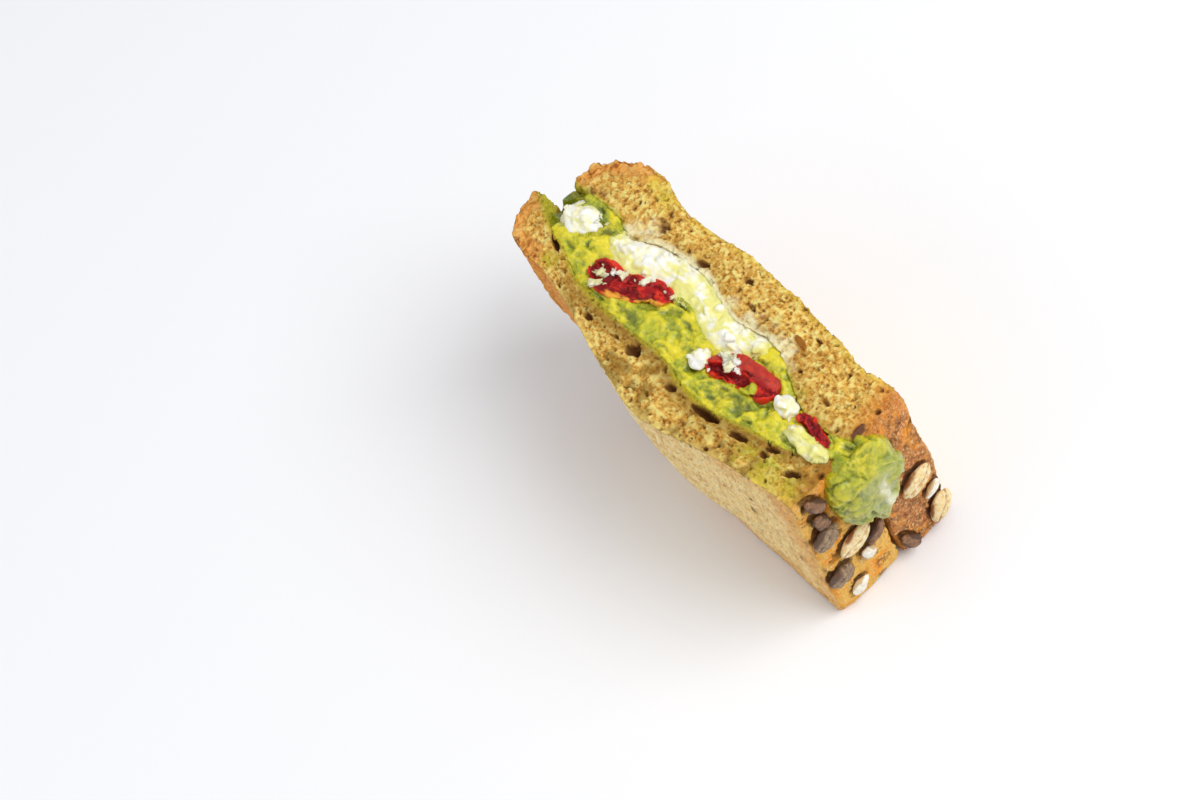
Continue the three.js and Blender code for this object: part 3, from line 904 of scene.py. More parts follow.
ROW_BIAS = 0.45  # how much closer the rows of facets lie near the cut face
CUT_ROWS = 0.985  # v from which the facets belong to the cut face
BASE_CRUST = 6.0  # how far in from the base the dents may lie
CHEESE_START = (-30, -26)  # x at which cheese starts to lie against the top slice
CHEESE_END = (23, 28)  # and at which it ends
DOME_TURN = (22, 44)  # -x at which the crust turns into the dome's
EDGE_BAND = 2.5  # width of the ragged edge between the cut and the outer face

LARGE_PORES = Bubbles(4.4, (0.6, 1.5), 0.22, (1.5, 1.0, 1.0), 1)
MEDIUM_PORES = Bubbles(2.0, (0.35, 0.85), 0.7, (1.3, 1.0, 1.0), 2)
SMALL_PORES = Bubbles(1.0, (0.2, 0.5), 0.95, (1.1, 1.0, 1.0), 3)

CRUMB_CRAGS = Crags(0.2, 1.5, 5)
CRUMB_GRIT = Crags(0.12, 0.7, 9, octaves=1)
CRUST_LUMPS = Crags(0.9, 3.4, 16)
FACE_FIBRES = Crags(0.5, 1.6, 17, (1, 1, 0.6))
EDGE_CRAGS = Crags(1.5, 2.6, 19)
DOME_CREASES = Crags(1.0, 3.2, 33, (1.2, 0.6, 0.7))
CREASE_DEPTH = 0.9
FLAKE_HEIGHT = 0.5
INLAY_HEIGHT = 0.7


def rows(kind: type, *table: tuple) -> tuple:
    """One object of a kind for each row of a table."""
    return tuple(kind(*row) for row in table)


@dataclass(frozen=True)
class Slice:
    """One slice of toasted bread, with its crumb, crusts, stains and the painted shade in the beds
    of its seeds.

    Attributes:
        name: the solid that it stands for.
        outline: its outline in the loaf's plan.
        outer_line: its outer face on the cut, as a function of x.
        inner_line: its face towards the fillings, as a function of x.
        rim_y: where its outer face lies at the crust.
        dome_draw: how far that rim is drawn in at the dome.
        side: -1 for the slice whose outer face looks along -Y, 1 for the other.
        cut_lean: how far the base crust falls back at the cut.
        dome_end: x beyond which the dome's crust covers its outer edge.
        tan: how far its base crust is tan instead of rust-brown.
        toasted: how strongly the crumb beside the base crust is toasted.
        seeds: the places of its seeds.
        patches: its stains.
        holes: torn holes in the cut face.
        inlays: seeds that the knife laid bare.
        dents: holes in the base crust, with y and z in place of x and y.
        facets: how many facets its grid has along X, Y and Z.
    """

    name: str
    outline: Outline
    outer_line: Line
    inner_line: Line
    rim_y: float
    dome_draw: float
    side: int
    cut_lean: float
    dome_end: float
    tan: float
    toasted: float
    seeds: Sequence[SeedPlace]
    patches: tuple[Patch, ...] = ()
    holes: tuple[Hole, ...] = ()
    inlays: tuple[Inlay, ...] = ()
    dents: tuple[Hole, ...] = ()
    facets: tuple[int, int, int] = (380, 52, 68)

    def faces(self, plan: Plan) -> tuple[Array, Array]:
        """The y of the inner and of the outer face at places in the plan."""
        seam = SEAM_Y + self.side * SEAM_HALF
        inner = seam + (self.inner_line(plan.x) - seam) * openness(plan)
        rim = self.rim_y - np.where(plan.in_dome, self.dome_draw * plan.end ** 2, 0)
        outer = rim + (self.outer_line(plan.x) - rim) * (1 - plan.down ** 2)
        return inner, outer

    def mould(self, uwv: Array) -> tuple[Array, Plan]:
        """Places of the slice's points, and their places in the loaf's plan."""
        u, w, v = uwv.T
        plan = self.outline.place(u, 1 - v)
        edge = (2 * w - 1) ** 4 * CRUST_CROWN * plan.reach ** CRUST_POWER
        depth = np.minimum(plan.depth * (1 - edge), CUT_HEIGHT)
        lean = self.cut_lean * w * plan.end ** 6 * np.exp(-depth / LEAN_DEPTH)
        lean = np.where(plan.in_dome, 0, lean)
        x = CROWN_X + (plan.x - CROWN_X) * (1 - edge) - lean
        inner, outer = self.faces(plan)
        low, high = (outer, inner) if self.side < 0 else (inner, outer)
        y = low + (high - low) * w
        place = np.stack([x, y, depth], axis=1)
        relief = CRUST_RELIEF * unevenness(place, CRUST_RELIEF_SIZE, self.outline.dome_x)
        place[:, 0] += np.where(depth > CUT_EDGE, relief * plan.reach ** CRUST_POWER, 0)
        place[:, 1] += relief * (2 * w - 1) ** 2
        place[:, 2] = CUT_HEIGHT - depth + relief * (1 - plan.down) ** CRUST_POWER
        return place, plan

    def crust_frame(self, place: SeedPlace) -> tuple[Array, Array, Array, Array]:
        """A place on the crust, with the directions out of it, across the slice and up."""
        def at(du: float, dv: float, dw: float) -> Array:
            """The slice's surface near the place."""
            return self.mould(np.array([[place.u + du, place.w + dw, place.v + dv]]))[0][0]

        step = 0.02
        if place.u < 1:
            along = at(step, 0, 0) - at(-step, 0, 0)
        else:
            along = at(0, step, 0) - at(0, -step, 0)
        across = at(0, 0, step) - at(0, 0, -step)
        across /= np.linalg.norm(across)
        out = np.cross(across, along)
        out /= np.linalg.norm(out)
        return at(0, 0, 0), out, across, np.cross(out, across)

    def build(self, material: Material) -> Piece:
        """Makes the slice's body, opens its pores and paints its colours, with painted shade in
        its pits and painted highlight on its raised flakes.
        """
        piece = to_object(self.name + "_bread", grid_box(self.facets))
        mesh = piece.data
        uwv = coordinates(mesh)
        uwv[:, 2] += ROW_BIAS * uwv[:, 2] * (1 - uwv[:, 2])
        place, plan = self.mould(uwv)
        move_to(mesh, place)
        inward = -normals(mesh)
        on_cut = smoothstep(uwv[:, 2], CUT_ROWS, 1.0)
        masks = self.masks(place, plan, on_cut)
        bare = self.inlaid(place, on_cut, masks)
        pit = self.pits(place, plan, inward, on_cut, masks) * fade(bare, 0.0, 0.15)
        flake = np.maximum(grain(warped(place, 1.3, 0.5, 7), 1.0, 6), 0) * on_cut * (pit < 0.3)
        height = FLAKE_HEIGHT * flake + INLAY_HEIGHT * np.sqrt(bare) - BED_DEPTH * masks["gap"]
        height -= pit + self.roughness(place, plan, masks)
        move_to(mesh, place - inward * height[:, None])
        # Painted shade in the pits, darker the deeper they are.
        masks["pit"] = smoothstep(pit, 0.3, 1.2) * (1 - 0.4 * masks["cream"])
        # Painted highlight: the raised flakes are painted lighter.
        masks["flake"] = np.maximum(masks["flake"], smoothstep(flake, 0.15, 0.5))
        paint(mesh, **masks)
        return finish_piece(piece, material, [self.name])

    def inlaid(self, place: Array, on_cut: Array, masks: Masks) -> Array:
        """Colours the seeds that the knife laid bare, and tells where they are."""
        bare = np.zeros(len(place))
        for inlay in self.inlays:
            seed = np.clip(1 - inlay.gap(place) + 0.2 * grain(place, 0.9, 97), 0, 1) * on_cut
            masks[inlay.colour] = smoothstep(seed, 0.05, 0.25)
            bare = np.maximum(bare, seed)
        return bare

    def pits(self, place: Array, plan: Plan, inward: Array, on_cut: Array,
             masks: Masks) -> Array:
        """How deep the pores, the torn holes and the base crust's dents are."""
        pit = self.pores(place, inward, masks)
        for hole in self.holes:
            pit = np.maximum(pit, hole.depth_at(place) * on_cut)
        base = (plan.x > BASE_X - BASE_CRUST) * (plan.end > 0.99) * (1 - masks["outer"])
        for dent in self.dents:
            pit = np.maximum(pit, dent.depth_at(place[:, [1, 2, 0]]) * base * (1 - on_cut))
        return pit

    def roughness(self, place: Array, plan: Plan, masks: Masks) -> Array:
        """How deep the small crags of the crumb, the faces, the edges and the crusts are."""
        crust, dome = masks["crust"], masks["dome"]
        rough = CRUMB_CRAGS.at(place) + CRUMB_GRIT.at(place)
        rough += CRUST_LUMPS.at(warped(place, 3, 1, 15)) * crust * (1 - dome)
        rough += FACE_FIBRES.at(place) * masks["outer"]
        edge_gap = np.abs(place[:, 1] - self.faces(plan)[1])
        edge = fade(edge_gap, 0, EDGE_BAND) * fade(plan.depth, 0, EDGE_BAND)
        rough += EDGE_CRAGS.at(place) * edge
        creases = CREASE_DEPTH * fade(DOME_CREASES.at(place), 0.0, 0.3)
        return rough + creases * dome * crust

    def masks(self, place: Array, plan: Plan, on_cut: Array) -> Masks:
        """How much there is of each of the bread's colours at each point.

        Args:
            place: the points.
            plan: their places in the loaf's plan.
            on_cut: 1 on the cut face and 0 below it.

        Returns:
            One array from 0 to 1 for each name.
        """
        x, y, _ = place.T
        below = 1 - on_cut
        inner, outer = self.faces(plan)
        inner_gap, outer_gap = np.abs(y - inner), np.abs(y - outer)
        ray = np.hypot(plan.x - CROWN_X, plan.depth)
        crust_gap = (1 / np.maximum(plan.reach, 1e-3) - 1) * ray + 0.8 * grain(place, 3, 31)
        rim_gap = outer_gap + np.maximum(0, x - self.dome_end) + grain(place, 3, 32)
        crust_gap = np.minimum(crust_gap, rim_gap)
        dome = smoothstep(-x, *DOME_TURN)
        band = 1.0 + 2.4 * dome
        crust = fade(crust_gap, band, band + 1.4)
        outer_face = fade(outer_gap, 0.2, 0.9) * below
        wander = layered_grain(place, 6, 3, 41)
        toasted = self.toasted * (1 - dome) + 0.25 * dome
        browned = smoothstep(-x - 0.1 * plan.depth + 9 * wander, 8, 34)
        toast = np.maximum.reduce([
            toasted * fade(crust_gap, 2.5, 8.5 + 4 * wander) * on_cut,
            0.6 * below * fade(crust_gap + 5 * wander, 0, 15) * (1 - crust),
            0.75 * self.toasted * fade(plan.depth + 3 * wander, 1, 9) * below * (x > 30),
            0.85 * outer_face * browned,
        ])
        olive = 0.75 * fade(inner_gap, 1.5, 7 + 4 * wander) * on_cut * (1 - 0.7 * dome)
        if self.side < 0:
            dull = 0.1 + 0.65 * smoothstep(layered_grain(place, 4.5, 4, 45), -0.05, 0.3)
            olive = np.maximum(olive, dull * on_cut * (1 - dome))
        else:
            olive *= 0.35
        cheesy = smoothstep(x, *CHEESE_START) * fade(x, *CHEESE_END) * (self.side > 0)
        stain = 0.6 * fade(inner_gap, 0.3, 1.4 + 1.4 * wander) * on_cut * (1 - cheesy)
        smear = smoothstep(-x, 43, 48) * (inner_gap < 0.8) * below * fade(plan.depth, 6, 14)
        rim = fade(outer_gap + 1.2 * wander, 0.4, 2.4) * on_cut * smoothstep(x, -38, -32)
        specks = grain(place * [1, 1, 0.5], 1.4, 71) - 0.25 * grain(place, 9, 72)
        masks = {
            "crust": crust * (1 - 0.35 * outer_face),
            "outer": outer_face,
            "toast": toast,
            "olive": olive,
            "stain": np.maximum(stain, 0.9 * smear),
            "gold": 0.4 * rim * (self.side > 0),
            "cream": 0.85 * fade(inner_gap, 0.4, 1.9 + 2 * wander) * on_cut * cheesy,
            "seed": np.zeros(len(place)),
            "nut": np.zeros(len(place)),
            "flake": 0.6 * rim * (self.side < 0),
            "speck": smoothstep(specks, 0.8, 0.92) * outer_face,
            "tan": np.full(len(place), self.tan),
            "dome": dome,
            # painted shade round the seeds
            "gap": self.seed_bed_shade(place),
        }
        for i, patch in enumerate(self.patches):
            ragged = layered_grain(place, 2.2, 3, 51 + i)
            gap = np.hypot(x - patch.x, y - patch.y) / patch.radius
            share = patch.strength * fade(gap + 0.6 * ragged, 0.3, 1.15) * on_cut
            share *= 0.45 + 0.55 * smoothstep(layered_grain(place, 1.5, 3, 61 + i), -0.3, 0.2)
            masks[patch.colour] = np.maximum(masks[patch.colour], share)
        return masks

    def seed_bed_shade(self, place: Array) -> Array:
        """Painted shade: the dark gap round each seed on the crust."""
        total = np.zeros(len(place))
        for seed in self.seeds:
            _, length, width, _, _ = seed.kind.value
            spot, out, across, up = self.crust_frame(seed)
            turn = math.radians(seed.turn)
            offset = place - spot
            y, z = offset @ across, offset @ up
            along = (z * math.cos(turn) - y * math.sin(turn)) / (length / 2)
            wide = (y * math.cos(turn) + z * math.sin(turn)) / (width / 2)
            gap = np.hypot(along, wide) + 0.25 * grain(place, 1.5, 95)
            spread = WIDE_BED if seed.kind in DARK_SEEDS else NARROW_BED
            near = (np.abs(offset @ out) < BED_THICKNESS) * fade(gap, 0.98, spread)
            total = np.maximum(total, BED_SHADE * near)
        return total

    def pores(self, place: Array, inward: Array, masks: Masks) -> Array:
        """How deep the pores are: ragged on the cut, shallow on the face, fine on the crust."""
        torn = warped(warped(place, 1.8, 0.8, 4), 0.8, 0.35, 14)
        large, medium, small = (
            pores.depth(torn, inward) for pores in (LARGE_PORES, MEDIUM_PORES, SMALL_PORES)
        )
        open_crumb = np.minimum(np.maximum(np.maximum(large, medium), 0.9 * small), 2.0)
        baked = np.minimum(np.maximum(0.5 * medium * (large > 0), 0.5 * small), 0.7)
        craggy = np.minimum(0.6 * medium, 0.7) * smoothstep(grain(place, 5, 8), 0.0, 0.35)
        fine = np.maximum(np.minimum(0.4 * small, 0.25), craggy)
        face = masks["outer"]
        depth = open_crumb * (1 - face) + baked * face
        depth = depth * (1 - masks["crust"]) + fine * masks["crust"]
        return depth * (1 - 0.4 * masks["cream"])


# -------- the seeds


BALL_DETAIL = 4
KERNEL_GROOVE = 0.5  # how deep the groove along a kernel is, as a share of its thickness
GROOVE_WIDTH = 0.08
SEED_TAPER = 0.4  # how much narrower a dark seed's tip is


@dataclass(frozen=True)
class Seeds:
    """All the seeds of one kind, as one piece."""

    kind: SeedKind
    finish: SeedFinish

    def build(self, beds: Sequence[Slice]) -> Piece:
        """Makes the seeds of this kind that lie on the slices."""
        bm = bmesh.new()
        skin = []
        for bed in beds:
            for number, place in enumerate(bed.seeds):
                if place.kind is self.kind:
                    skin.append(self.add(bm, bed, place, number))
        piece = to_object("seeds_" + self.kind.value[0], bm)
        paint(piece.data, skin=np.concatenate(skin))
        return finish_piece(piece, self.finish.material())

    def add(self, bm: Facets, bed: Slice, place: SeedPlace, number: int) -> Array:
        """Adds one seed that lies on the crust.

        Args:
            bm: the bmesh that it goes into.
            bed: the slice that it lies on.
            place: where it lies.
            number: tells the seeds of a slice apart.

        Returns:
            How much skin there is at each of its points.
        """
        _, length, width, thickness, knobs = self.kind.value
        verts = bmesh.ops.create_icosphere(bm, subdivisions=BALL_DETAIL, radius=0.5)["verts"]
        points = np.array([v.co for v in verts])
        rim = np.abs(2 * points[:, 1])
        if self.kind is SeedKind.KERNEL:
            split = points[:, 1] - 0.06 * np.sin(7 * points[:, 2])
            points[:, 0] *= 1 - KERNEL_GROOVE * np.exp(-(split / GROOVE_WIDTH) ** 2)
            rim = np.maximum(rim, 1 - np.abs(split) / 0.25)
        if self.kind in DARK_SEEDS:
            points[:, 1] *= 1 - SEED_TAPER * np.clip(points[:, 2] * 2, 0, 1) ** 2
        points = points * [thickness, width, length]
        marks = points + 9 * number
        points += knobs * pushes(marks, 1.8, 2, (81, 83, 85))
        spot, out, across, up = bed.crust_frame(place)
        turn = math.radians(place.turn)
        y = points[:, 1] * math.cos(turn) - points[:, 2] * math.sin(turn)
        z = points[:, 1] * math.sin(turn) + points[:, 2] * math.cos(turn)
        middle = spot + out * (0.5 - SEED_SUNK) * thickness
        middle[2] = max(middle[2], thickness)
        moved = middle + points[:, :1] * out + y[:, None] * across + z[:, None] * up
        for vert, co in zip(verts, (moved - MIDDLE) * MM):
            vert.co = co
        start = 0.82 if self.kind is SeedKind.KERNEL else 0.62
        return smoothstep(rim + 0.15 * grain(marks, 1.2, 87), start, start + 0.12)


# -------- the fillings


def fine_copy(node: str, name: str, voxel: float, smooth: int) -> Piece:
    """A copy of a solid with an even fine mesh and rounded edges.

    Args:
        node: the solid.
        name: the copy's name.
        voxel: size of its facets.
        smooth: how many rounds of smoothing it gets.

    Returns:
        The copy.
    """
    bm = bmesh.new()
    bm.from_mesh(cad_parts[node].data)
    bmesh.ops.remove_doubles(bm, verts=bm.verts, dist=1e-6)
    bmesh.ops.recalc_face_normals(bm, faces=bm.faces)
    piece = to_object(name, bm)
    modifier = piece.modifiers.new("even", "REMESH")
    modifier.mode = "VOXEL"
    modifier.voxel_size = voxel * MM
    modifier.adaptivity = 0.0
    rounder = piece.modifiers.new("round", "SMOOTH")
    rounder.factor = 0.5
    rounder.iterations = smooth
    graph = bpy.context.evaluated_depsgraph_get()
    mesh = bpy.data.meshes.new_from_object(piece.evaluated_get(graph))
    piece.modifiers.clear()
    old = piece.data
    piece.data = mesh
    bpy.data.meshes.remove(old)
    mesh.name = name
    mesh.polygons.foreach_set("use_smooth", [True] * len(mesh.polygons))
    return piece


def rounded(mesh: Mesh, chosen: Array, rounds: int) -> None:
    """Smooths the chosen vertices of a mesh, which takes the solid's flat facets away.

    Args:
        mesh: the mesh.
        chosen: tells for each vertex whether it is smoothed.
        rounds: how many rounds of smoothing they get.
    """
    bm = bmesh.new()
    bm.from_mesh(mesh)
    verts = [vert for vert, yes in zip(bm.verts, chosen) if yes]
    for _ in range(rounds):
        bmesh.ops.smooth_vert(bm, verts=verts, factor=0.5, use_axis_x=True, use_axis_y=True,
                              use_axis_z=True)
    bm.to_mesh(mesh)
    bm.free()


MASH_CLUMPS = Bubbles(2.6, (0.5, 1.3), 0.8, (1.4, 1, 1), 107)
SOFT_ROUNDS = 4  # rounds of smoothing that cheese and tomato get
TOMATO_VOXEL = 0.3


@dataclass(frozen=True)
class Avocado:
    """The layer of mashed avocado with the dollop that ran out over the base crust.

    Attributes:
        voxel: size of its facets.
        soft_rounds: rounds of smoothing that the whole of it gets.
        dollop_rounds: and that its dollop gets on top.
        swell: how far its sides swell towards the bread.
        folds: height of the folds on its top.
        bits: height of the small lumps on them.
        clumps: height of the round clumps.
        sunk: how far its top lies below the solid's.
        dollop_gain: how much stronger the relief is on the dollop.
        wander: how far the dollop's rim strays.
        cavity: the hollow at the dome end.
        cavity_depth: how deep it is.
        dome_fall: how far the mash falls towards it.
        tongue: where the dollop's lowest part runs down, its half width and its length.
        milk_line: the milky streak down the dollop, as y over z.
        knee: how far out from the crust the dollop starts to flatten.
        reach: how far out it comes at most.
        back: how far its back is pushed against the crust.
    """

    voxel: float = 0.46
    soft_rounds: int = 16
    dollop_rounds: int = 30
    swell: float = 0.95
    folds: float = 1.2
    bits: float = 0.8
    clumps: float = 0.5
    sunk: float = 0.35
    dollop_gain: float = 1.3
    wander: float = 1.6
    cavity: Oval = Oval(-53.0, 3.6, 4.6, 3.0, 40)
    cavity_depth: float = 4.0
    dome_fall: float = 5.0
    tongue: tuple = (4.6, 2.8, 5.5)
    milk_line: tuple = ((30, 5.0), (43, 6.8), (54, 4.6))
    knee: float = 4.4
    reach: float = 6.7
    back: float = 2.0

    def build(self, finish: AvocadoFinish) -> Piece:
        """Makes the mash."""
        piece = fine_copy("avocado", "avocado_mash", self.voxel, self.soft_rounds)
        mesh = piece.data
        rounded(mesh, loaf_places(mesh)[:, 0] > BASE_X + 0.6, self.dollop_rounds)
        place, out = loaf_places(mesh), normals(mesh)
        x, y, z = place.T
        mash = self.relief(place, out)
        dollop = smoothstep(x, BASE_X, BASE_X + 1.5)
        top = smoothstep(z, CUT_HEIGHT - 5, CUT_HEIGHT - 1)
        upward = smoothstep(out[:, 2], 0.1, 0.7) * top * (1 - dollop)
        height = self.swell * (1 - upward) * (1 - dollop) + upward * (mash - self.sunk)
        height += dollop * (self.dollop_gain * mash + 0.1)
        hollow = np.sqrt(np.clip(1 - self.cavity.gap(place) + 0.4 * grain(place, 1.5, 110), 0, 1))
        fall = smoothstep(-x + 1.5 * grain(place, 3, 111), 48, 55)
        push = np.stack([np.zeros(len(place)), grain(place, 4, 112), grain(place, 4, 113)], 1)
        moved = place + out * height[:, None] + self.wander * dollop[:, None] * push
        drop = self.dome_fall * fall + self.cavity_depth * hollow
        moved[:, 2] -= drop * np.clip((z - CUT_HEIGHT) / 16 + 1, 0, 1)
        tongue_y, tongue_half, tongue_fall = self.tongue
        run = dollop * np.exp(-((y - tongue_y) / tongue_half) ** 2)
        moved[:, 2] -= tongue_fall * run * smoothstep(46 - z, 0, 8)
        beyond = np.maximum(moved[:, 0] - BASE_X - self.knee, 0)
        room = self.reach - self.knee
        moved[:, 0] -= beyond - room * (1 - np.exp(-beyond / room))
        facing_in = smoothstep(-out[:, 0], 0.1, 0.8)
        moved[:, 0] -= self.back * smoothstep(x, BASE_X - 0.5, BASE_X + 0.2) * facing_in
        move_to(mesh, moved)
        # Painted shade: darker in the low folds, in the dome end's hollow and where the mash falls
        # away, and a little darker over the whole dollop.
        deep = np.maximum.reduce([
            fade(mash, -0.75, 0.0) * (upward + 0.9 * dollop),
            top * np.maximum(0.9 * hollow, 0.7 * fall),
            0.24 * dollop,
        ])
        # Yellower on the folds' ridges: partly the flesh's own yellow, partly painted highlight.
        paint(mesh, deep=0.85 * deep, ridge=0.7 * smoothstep(mash, 0.1, 0.7) * (1 - fall),
              **self.films(place, dollop))
        return finish_piece(piece, finish.material(), ["avocado"])

    def relief(self, place: Array, out: Array) -> Array:
        """The height of the folds, lumps and clumps at each point."""
        pushed = warped(warped(place, 5.0, 1.8, 100), 2.0, 0.7, 103)
        fold = 0.5 - 1.6 * np.abs(layered_grain(pushed * [0.7, 1, 1], 4.2, 2, 101))
        clump = np.minimum(MASH_CLUMPS.depth(pushed, out), 1.1)
        bit = layered_grain(pushed, 1.5, 3, 104)
        return self.folds * fold + self.bits * bit + self.clumps * clump

    def films(self, place: Array, dollop: Array) -> Masks:
        """Where a pale film and a milky streak lie over the dollop."""
        _, y, z = place.T
        slope = y + 0.45 * (58 - z) + 1.8 * layered_grain(place, 3, 2, 108)
        film = dollop * smoothstep(slope, -0.5, 2.0)
        film *= fade(z + 3 * layered_grain(place, 4, 2, 116), 54, 60)
        streak_y = line_through(self.milk_line)(z)
        streak_y = streak_y + 0.8 * grain(place, 3, 109) + 1.2 * grain(place, 5, 114)
        streak = film * fade(np.abs(y - streak_y), 0.2, 2.0)
        streak *= fade(z + 2 * grain(place, 3, 115), 51, 56)
        return {"film": 0.6 * film, "milk": 0.85 * streak}


@dataclass(frozen=True)
class Cheese:
    """A piece of white cheese, soft and crumbly.

    Attributes:
        node: the solid that it stands for.
        seed: which arrangement of clumps.
        swell: how far its sides swell.
        ragged: how uneven its edges are.
        stained: how much the avocado beside it has stained it.
        yellow: how yellow and how uneven it is all over.
        voxel: size of its facets.
    """

    node: str
    seed: int
    swell: float = 0.24
    ragged: float = 0.7
    stained: float = 0.0
    yellow: float = 0.0
    voxel: float = 0.36

    def build(self, material: Material) -> Piece:
        """Makes the piece."""
        piece = fine_copy(self.node, self.node + "_crumbly", self.voxel, SOFT_ROUNDS)
        mesh, seed = piece.data, self.seed
        place, out = loaf_places(mesh), normals(mesh)
        torn = warped(warped(place, 3.0, 1.2, seed), 1.2, 0.4, seed + 4)
        clumps = Bubbles(3.4, (0.9, 2.0), 0.85, (1.2, 1.0, 1.0), seed).depth(torn, out)
        crag = np.abs(layered_grain(torn, 2.6, 3, seed + 1))
        fine = layered_grain(place, 1.1, 3, seed + 2)
        top = smoothstep(place[:, 2], CUT_HEIGHT - 5, CUT_HEIGHT - 1)
        upward = top * smoothstep(out[:, 2], -0.1, 0.5)
        heap = 0.6 * np.minimum(clumps, 2.0) + 0.8 * np.minimum(crag, 0.6) + 0.25 * fine
        swell = self.swell + self.ragged * np.maximum(layered_grain(place, 3, 2, seed + 5), -0.2)
        height = swell * (1 - upward) + upward * (heap - 0.6)
        height += self.yellow * (1.1 * grain(place, 2.6, seed + 7) - 0.3)
        move_to(mesh, place + out * height[:, None])
        wisps = layered_grain(warped(place, 2, 1.2, seed + 6) * [0.6, 1, 1], 3.0, 4, seed + 2)
        tint = 0.85 * smoothstep(wisps - 0.25 * (heap - 0.8), 0.12, 0.45)
        tint = np.maximum(tint, self.yellow * smoothstep(grain(place, 2.6, seed + 8), -0.7, 0.3))
        if self.stained:
            tint = np.maximum(tint, self.stained * self.touching(place, mesh))
        paint(mesh, tint=tint)
        return finish_piece(piece, material, [self.node])

    def touching(self, place: Array, mesh: Mesh) -> Array:
        """How near the avocado is to each point, from 0 to 1."""
        solid = bmesh.new()
        solid.from_mesh(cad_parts["avocado"].data)
        tree = BVHTree.FromBMesh(solid)
        solid.free()
        gap = np.array([tree.find_nearest(vert.co)[3] for vert in mesh.vertices])
        reach = gap / MM + 1.8 * layered_grain(place, 3.2, 3, self.seed + 9)
        return fade(reach, 0.6, 2.6)


CHEESES = (
    Cheese("cheese_band", 201, swell=1.2, ragged=2.2, stained=0.9),
    Cheese("cheese_crown", 211, swell=1.2, ragged=2.2),
    Cheese("cheese_lump_1", 221),
    Cheese("cheese_lump_2", 231),
    Cheese("cheese_lump_3", 241, swell=1.2, yellow=1.0),
)

NO_SMEAR = Oval(0, 0, 0.1, 0.1, 0)  # a speck that no piece reaches


@dataclass(frozen=True)
class Tomato:
    """A folded piece of sun-dried tomato.

    Attributes:
        node: the solid that it stands for.
        start: x and y of its end nearer the dome, on the cut face.
        end: x and y of its other end.
        halves: half its width at each end.
        curl: how far it curves between them.
        hollow: the sunken flesh: place and half length along it, place and half width across.
        sunk: how deep the hollow is.
        skin: share along it from which its lower edge shows orange skin.
        dusty: how dull its upper half is.
        seed: which arrangement of wrinkles.
        smear: where mash lies over it.
        wrinkle: height of its wrinkles.
        crease: depth of the creases between them.
        stray: how far its outline strays on the cut.
    """

    node: str
    start: tuple[float, float]
    end: tuple[float, float]
    halves: tuple[float, float]
    curl: float
    hollow: tuple[float, float, float, float]
    sunk: float
    skin: float
    dusty: float
    seed: int
    smear: Oval = NO_SMEAR
    wrinkle: float = 0.5
    crease: float = 0.9
    stray: float = 0.9

    def local(self, place: Array) -> tuple[Array, Array]:
        """Each point's share along the piece, and across it from -1 to 1."""
        (x0, y0), (x1, y1) = self.start, self.end
        along = np.clip((place[:, 0] - x0) / (x1 - x0), 0, 1)
        middle = y0 + (y1 - y0) * along + self.curl * np.sin(math.pi * 1.5 * along)
        taper = np.sqrt(np.maximum(0.0625, 1 - np.abs(2 * along - 1) ** 5))
        half = (self.halves[0] + (self.halves[1] - self.halves[0]) * along) * taper
        return along, (place[:, 1] - middle) / half

    def build(self, material: Material) -> Piece:
        """Makes the wrinkled piece."""
        piece = fine_copy(self.node, self.node + "_dried", TOMATO_VOXEL, SOFT_ROUNDS)
        mesh, seed = piece.data, self.seed
        place, out = loaf_places(mesh), normals(mesh)
        along, across = self.local(warped(place, 2.5, 0.8, seed + 4))
        top = smoothstep(place[:, 2], CUT_HEIGHT - 2.5, CUT_HEIGHT - 0.5)
        a, half_a, c, half_c = self.hollow
        gap = ((along - a) / half_a) ** 2 + ((across - c) / half_c) ** 2
        gap = gap + 0.3 * grain(place, 2.0, seed)
        hollow = top * np.sqrt(np.clip(1 - gap, 0, 1))
        edge = across + 0.25 * grain(place, 1.6, seed + 3)
        flat = top * smoothstep(edge, -0.05, 0.2) * (1 - hollow)
        folds = np.stack([12 * along, 4 * across, place[:, 2]], axis=1)
        wrinkles = np.abs(layered_grain(warped(folds, 2, 0.8, seed + 6), 2.2, 3, seed + 1))
        crease = fade(wrinkles, 0.04, 0.22) * (1 - 0.7 * self.dusty * flat)
        height = 0.5 - self.wrinkle * wrinkles - self.crease * crease
        moved = place + out * height[:, None]
        for axis in range(2):
            moved[:, axis] += self.stray * top * grain(place, 3.5, seed + 7 + axis)
        ragged = self.smear.gap(place) + 0.8 * layered_grain(place, 1.8, 3, seed + 14)
        smear = top * fade(ragged, 0.6, 0.9)
        moved[:, 2] += top * (0.7 * flat * grain(place, 3, seed + 9) - self.sunk * hollow)
        moved[:, 2] += 0.5 * smear
        move_to(mesh, moved)
        rim = top * smoothstep(np.abs(across) + 0.15 * grain(place, 2, seed + 2), 0.62, 0.85)
        rim = 0.85 * rim * (1 - 0.8 * self.dusty * flat) * (1 - crease)
        lip = top * fade(np.abs(gap - 1.2), 0.1, 0.4) * (self.dusty > 0)
        torn = edge + 0.7 * layered_grain(place, 2.4, 3, seed + 12)
        skin = top * fade(torn, -1.02, -0.9) * smoothstep(along, self.skin, self.skin + 0.1)
        paint(
            mesh,
            mash=smear,
            # Painted shade in the sunken hollow and the creases.
            dark=np.maximum(0.7 * smoothstep(hollow, 0.3, 0.8), 0.8 * crease),
            dusty=self.dusty * flat * (0.6 + 0.4 * grain(place, 1.8, seed + 10)),
            bright=np.maximum(rim, 0.9 * lip),
            skin=0.9 * skin,
        )
        return finish_piece(piece, material, [self.node])


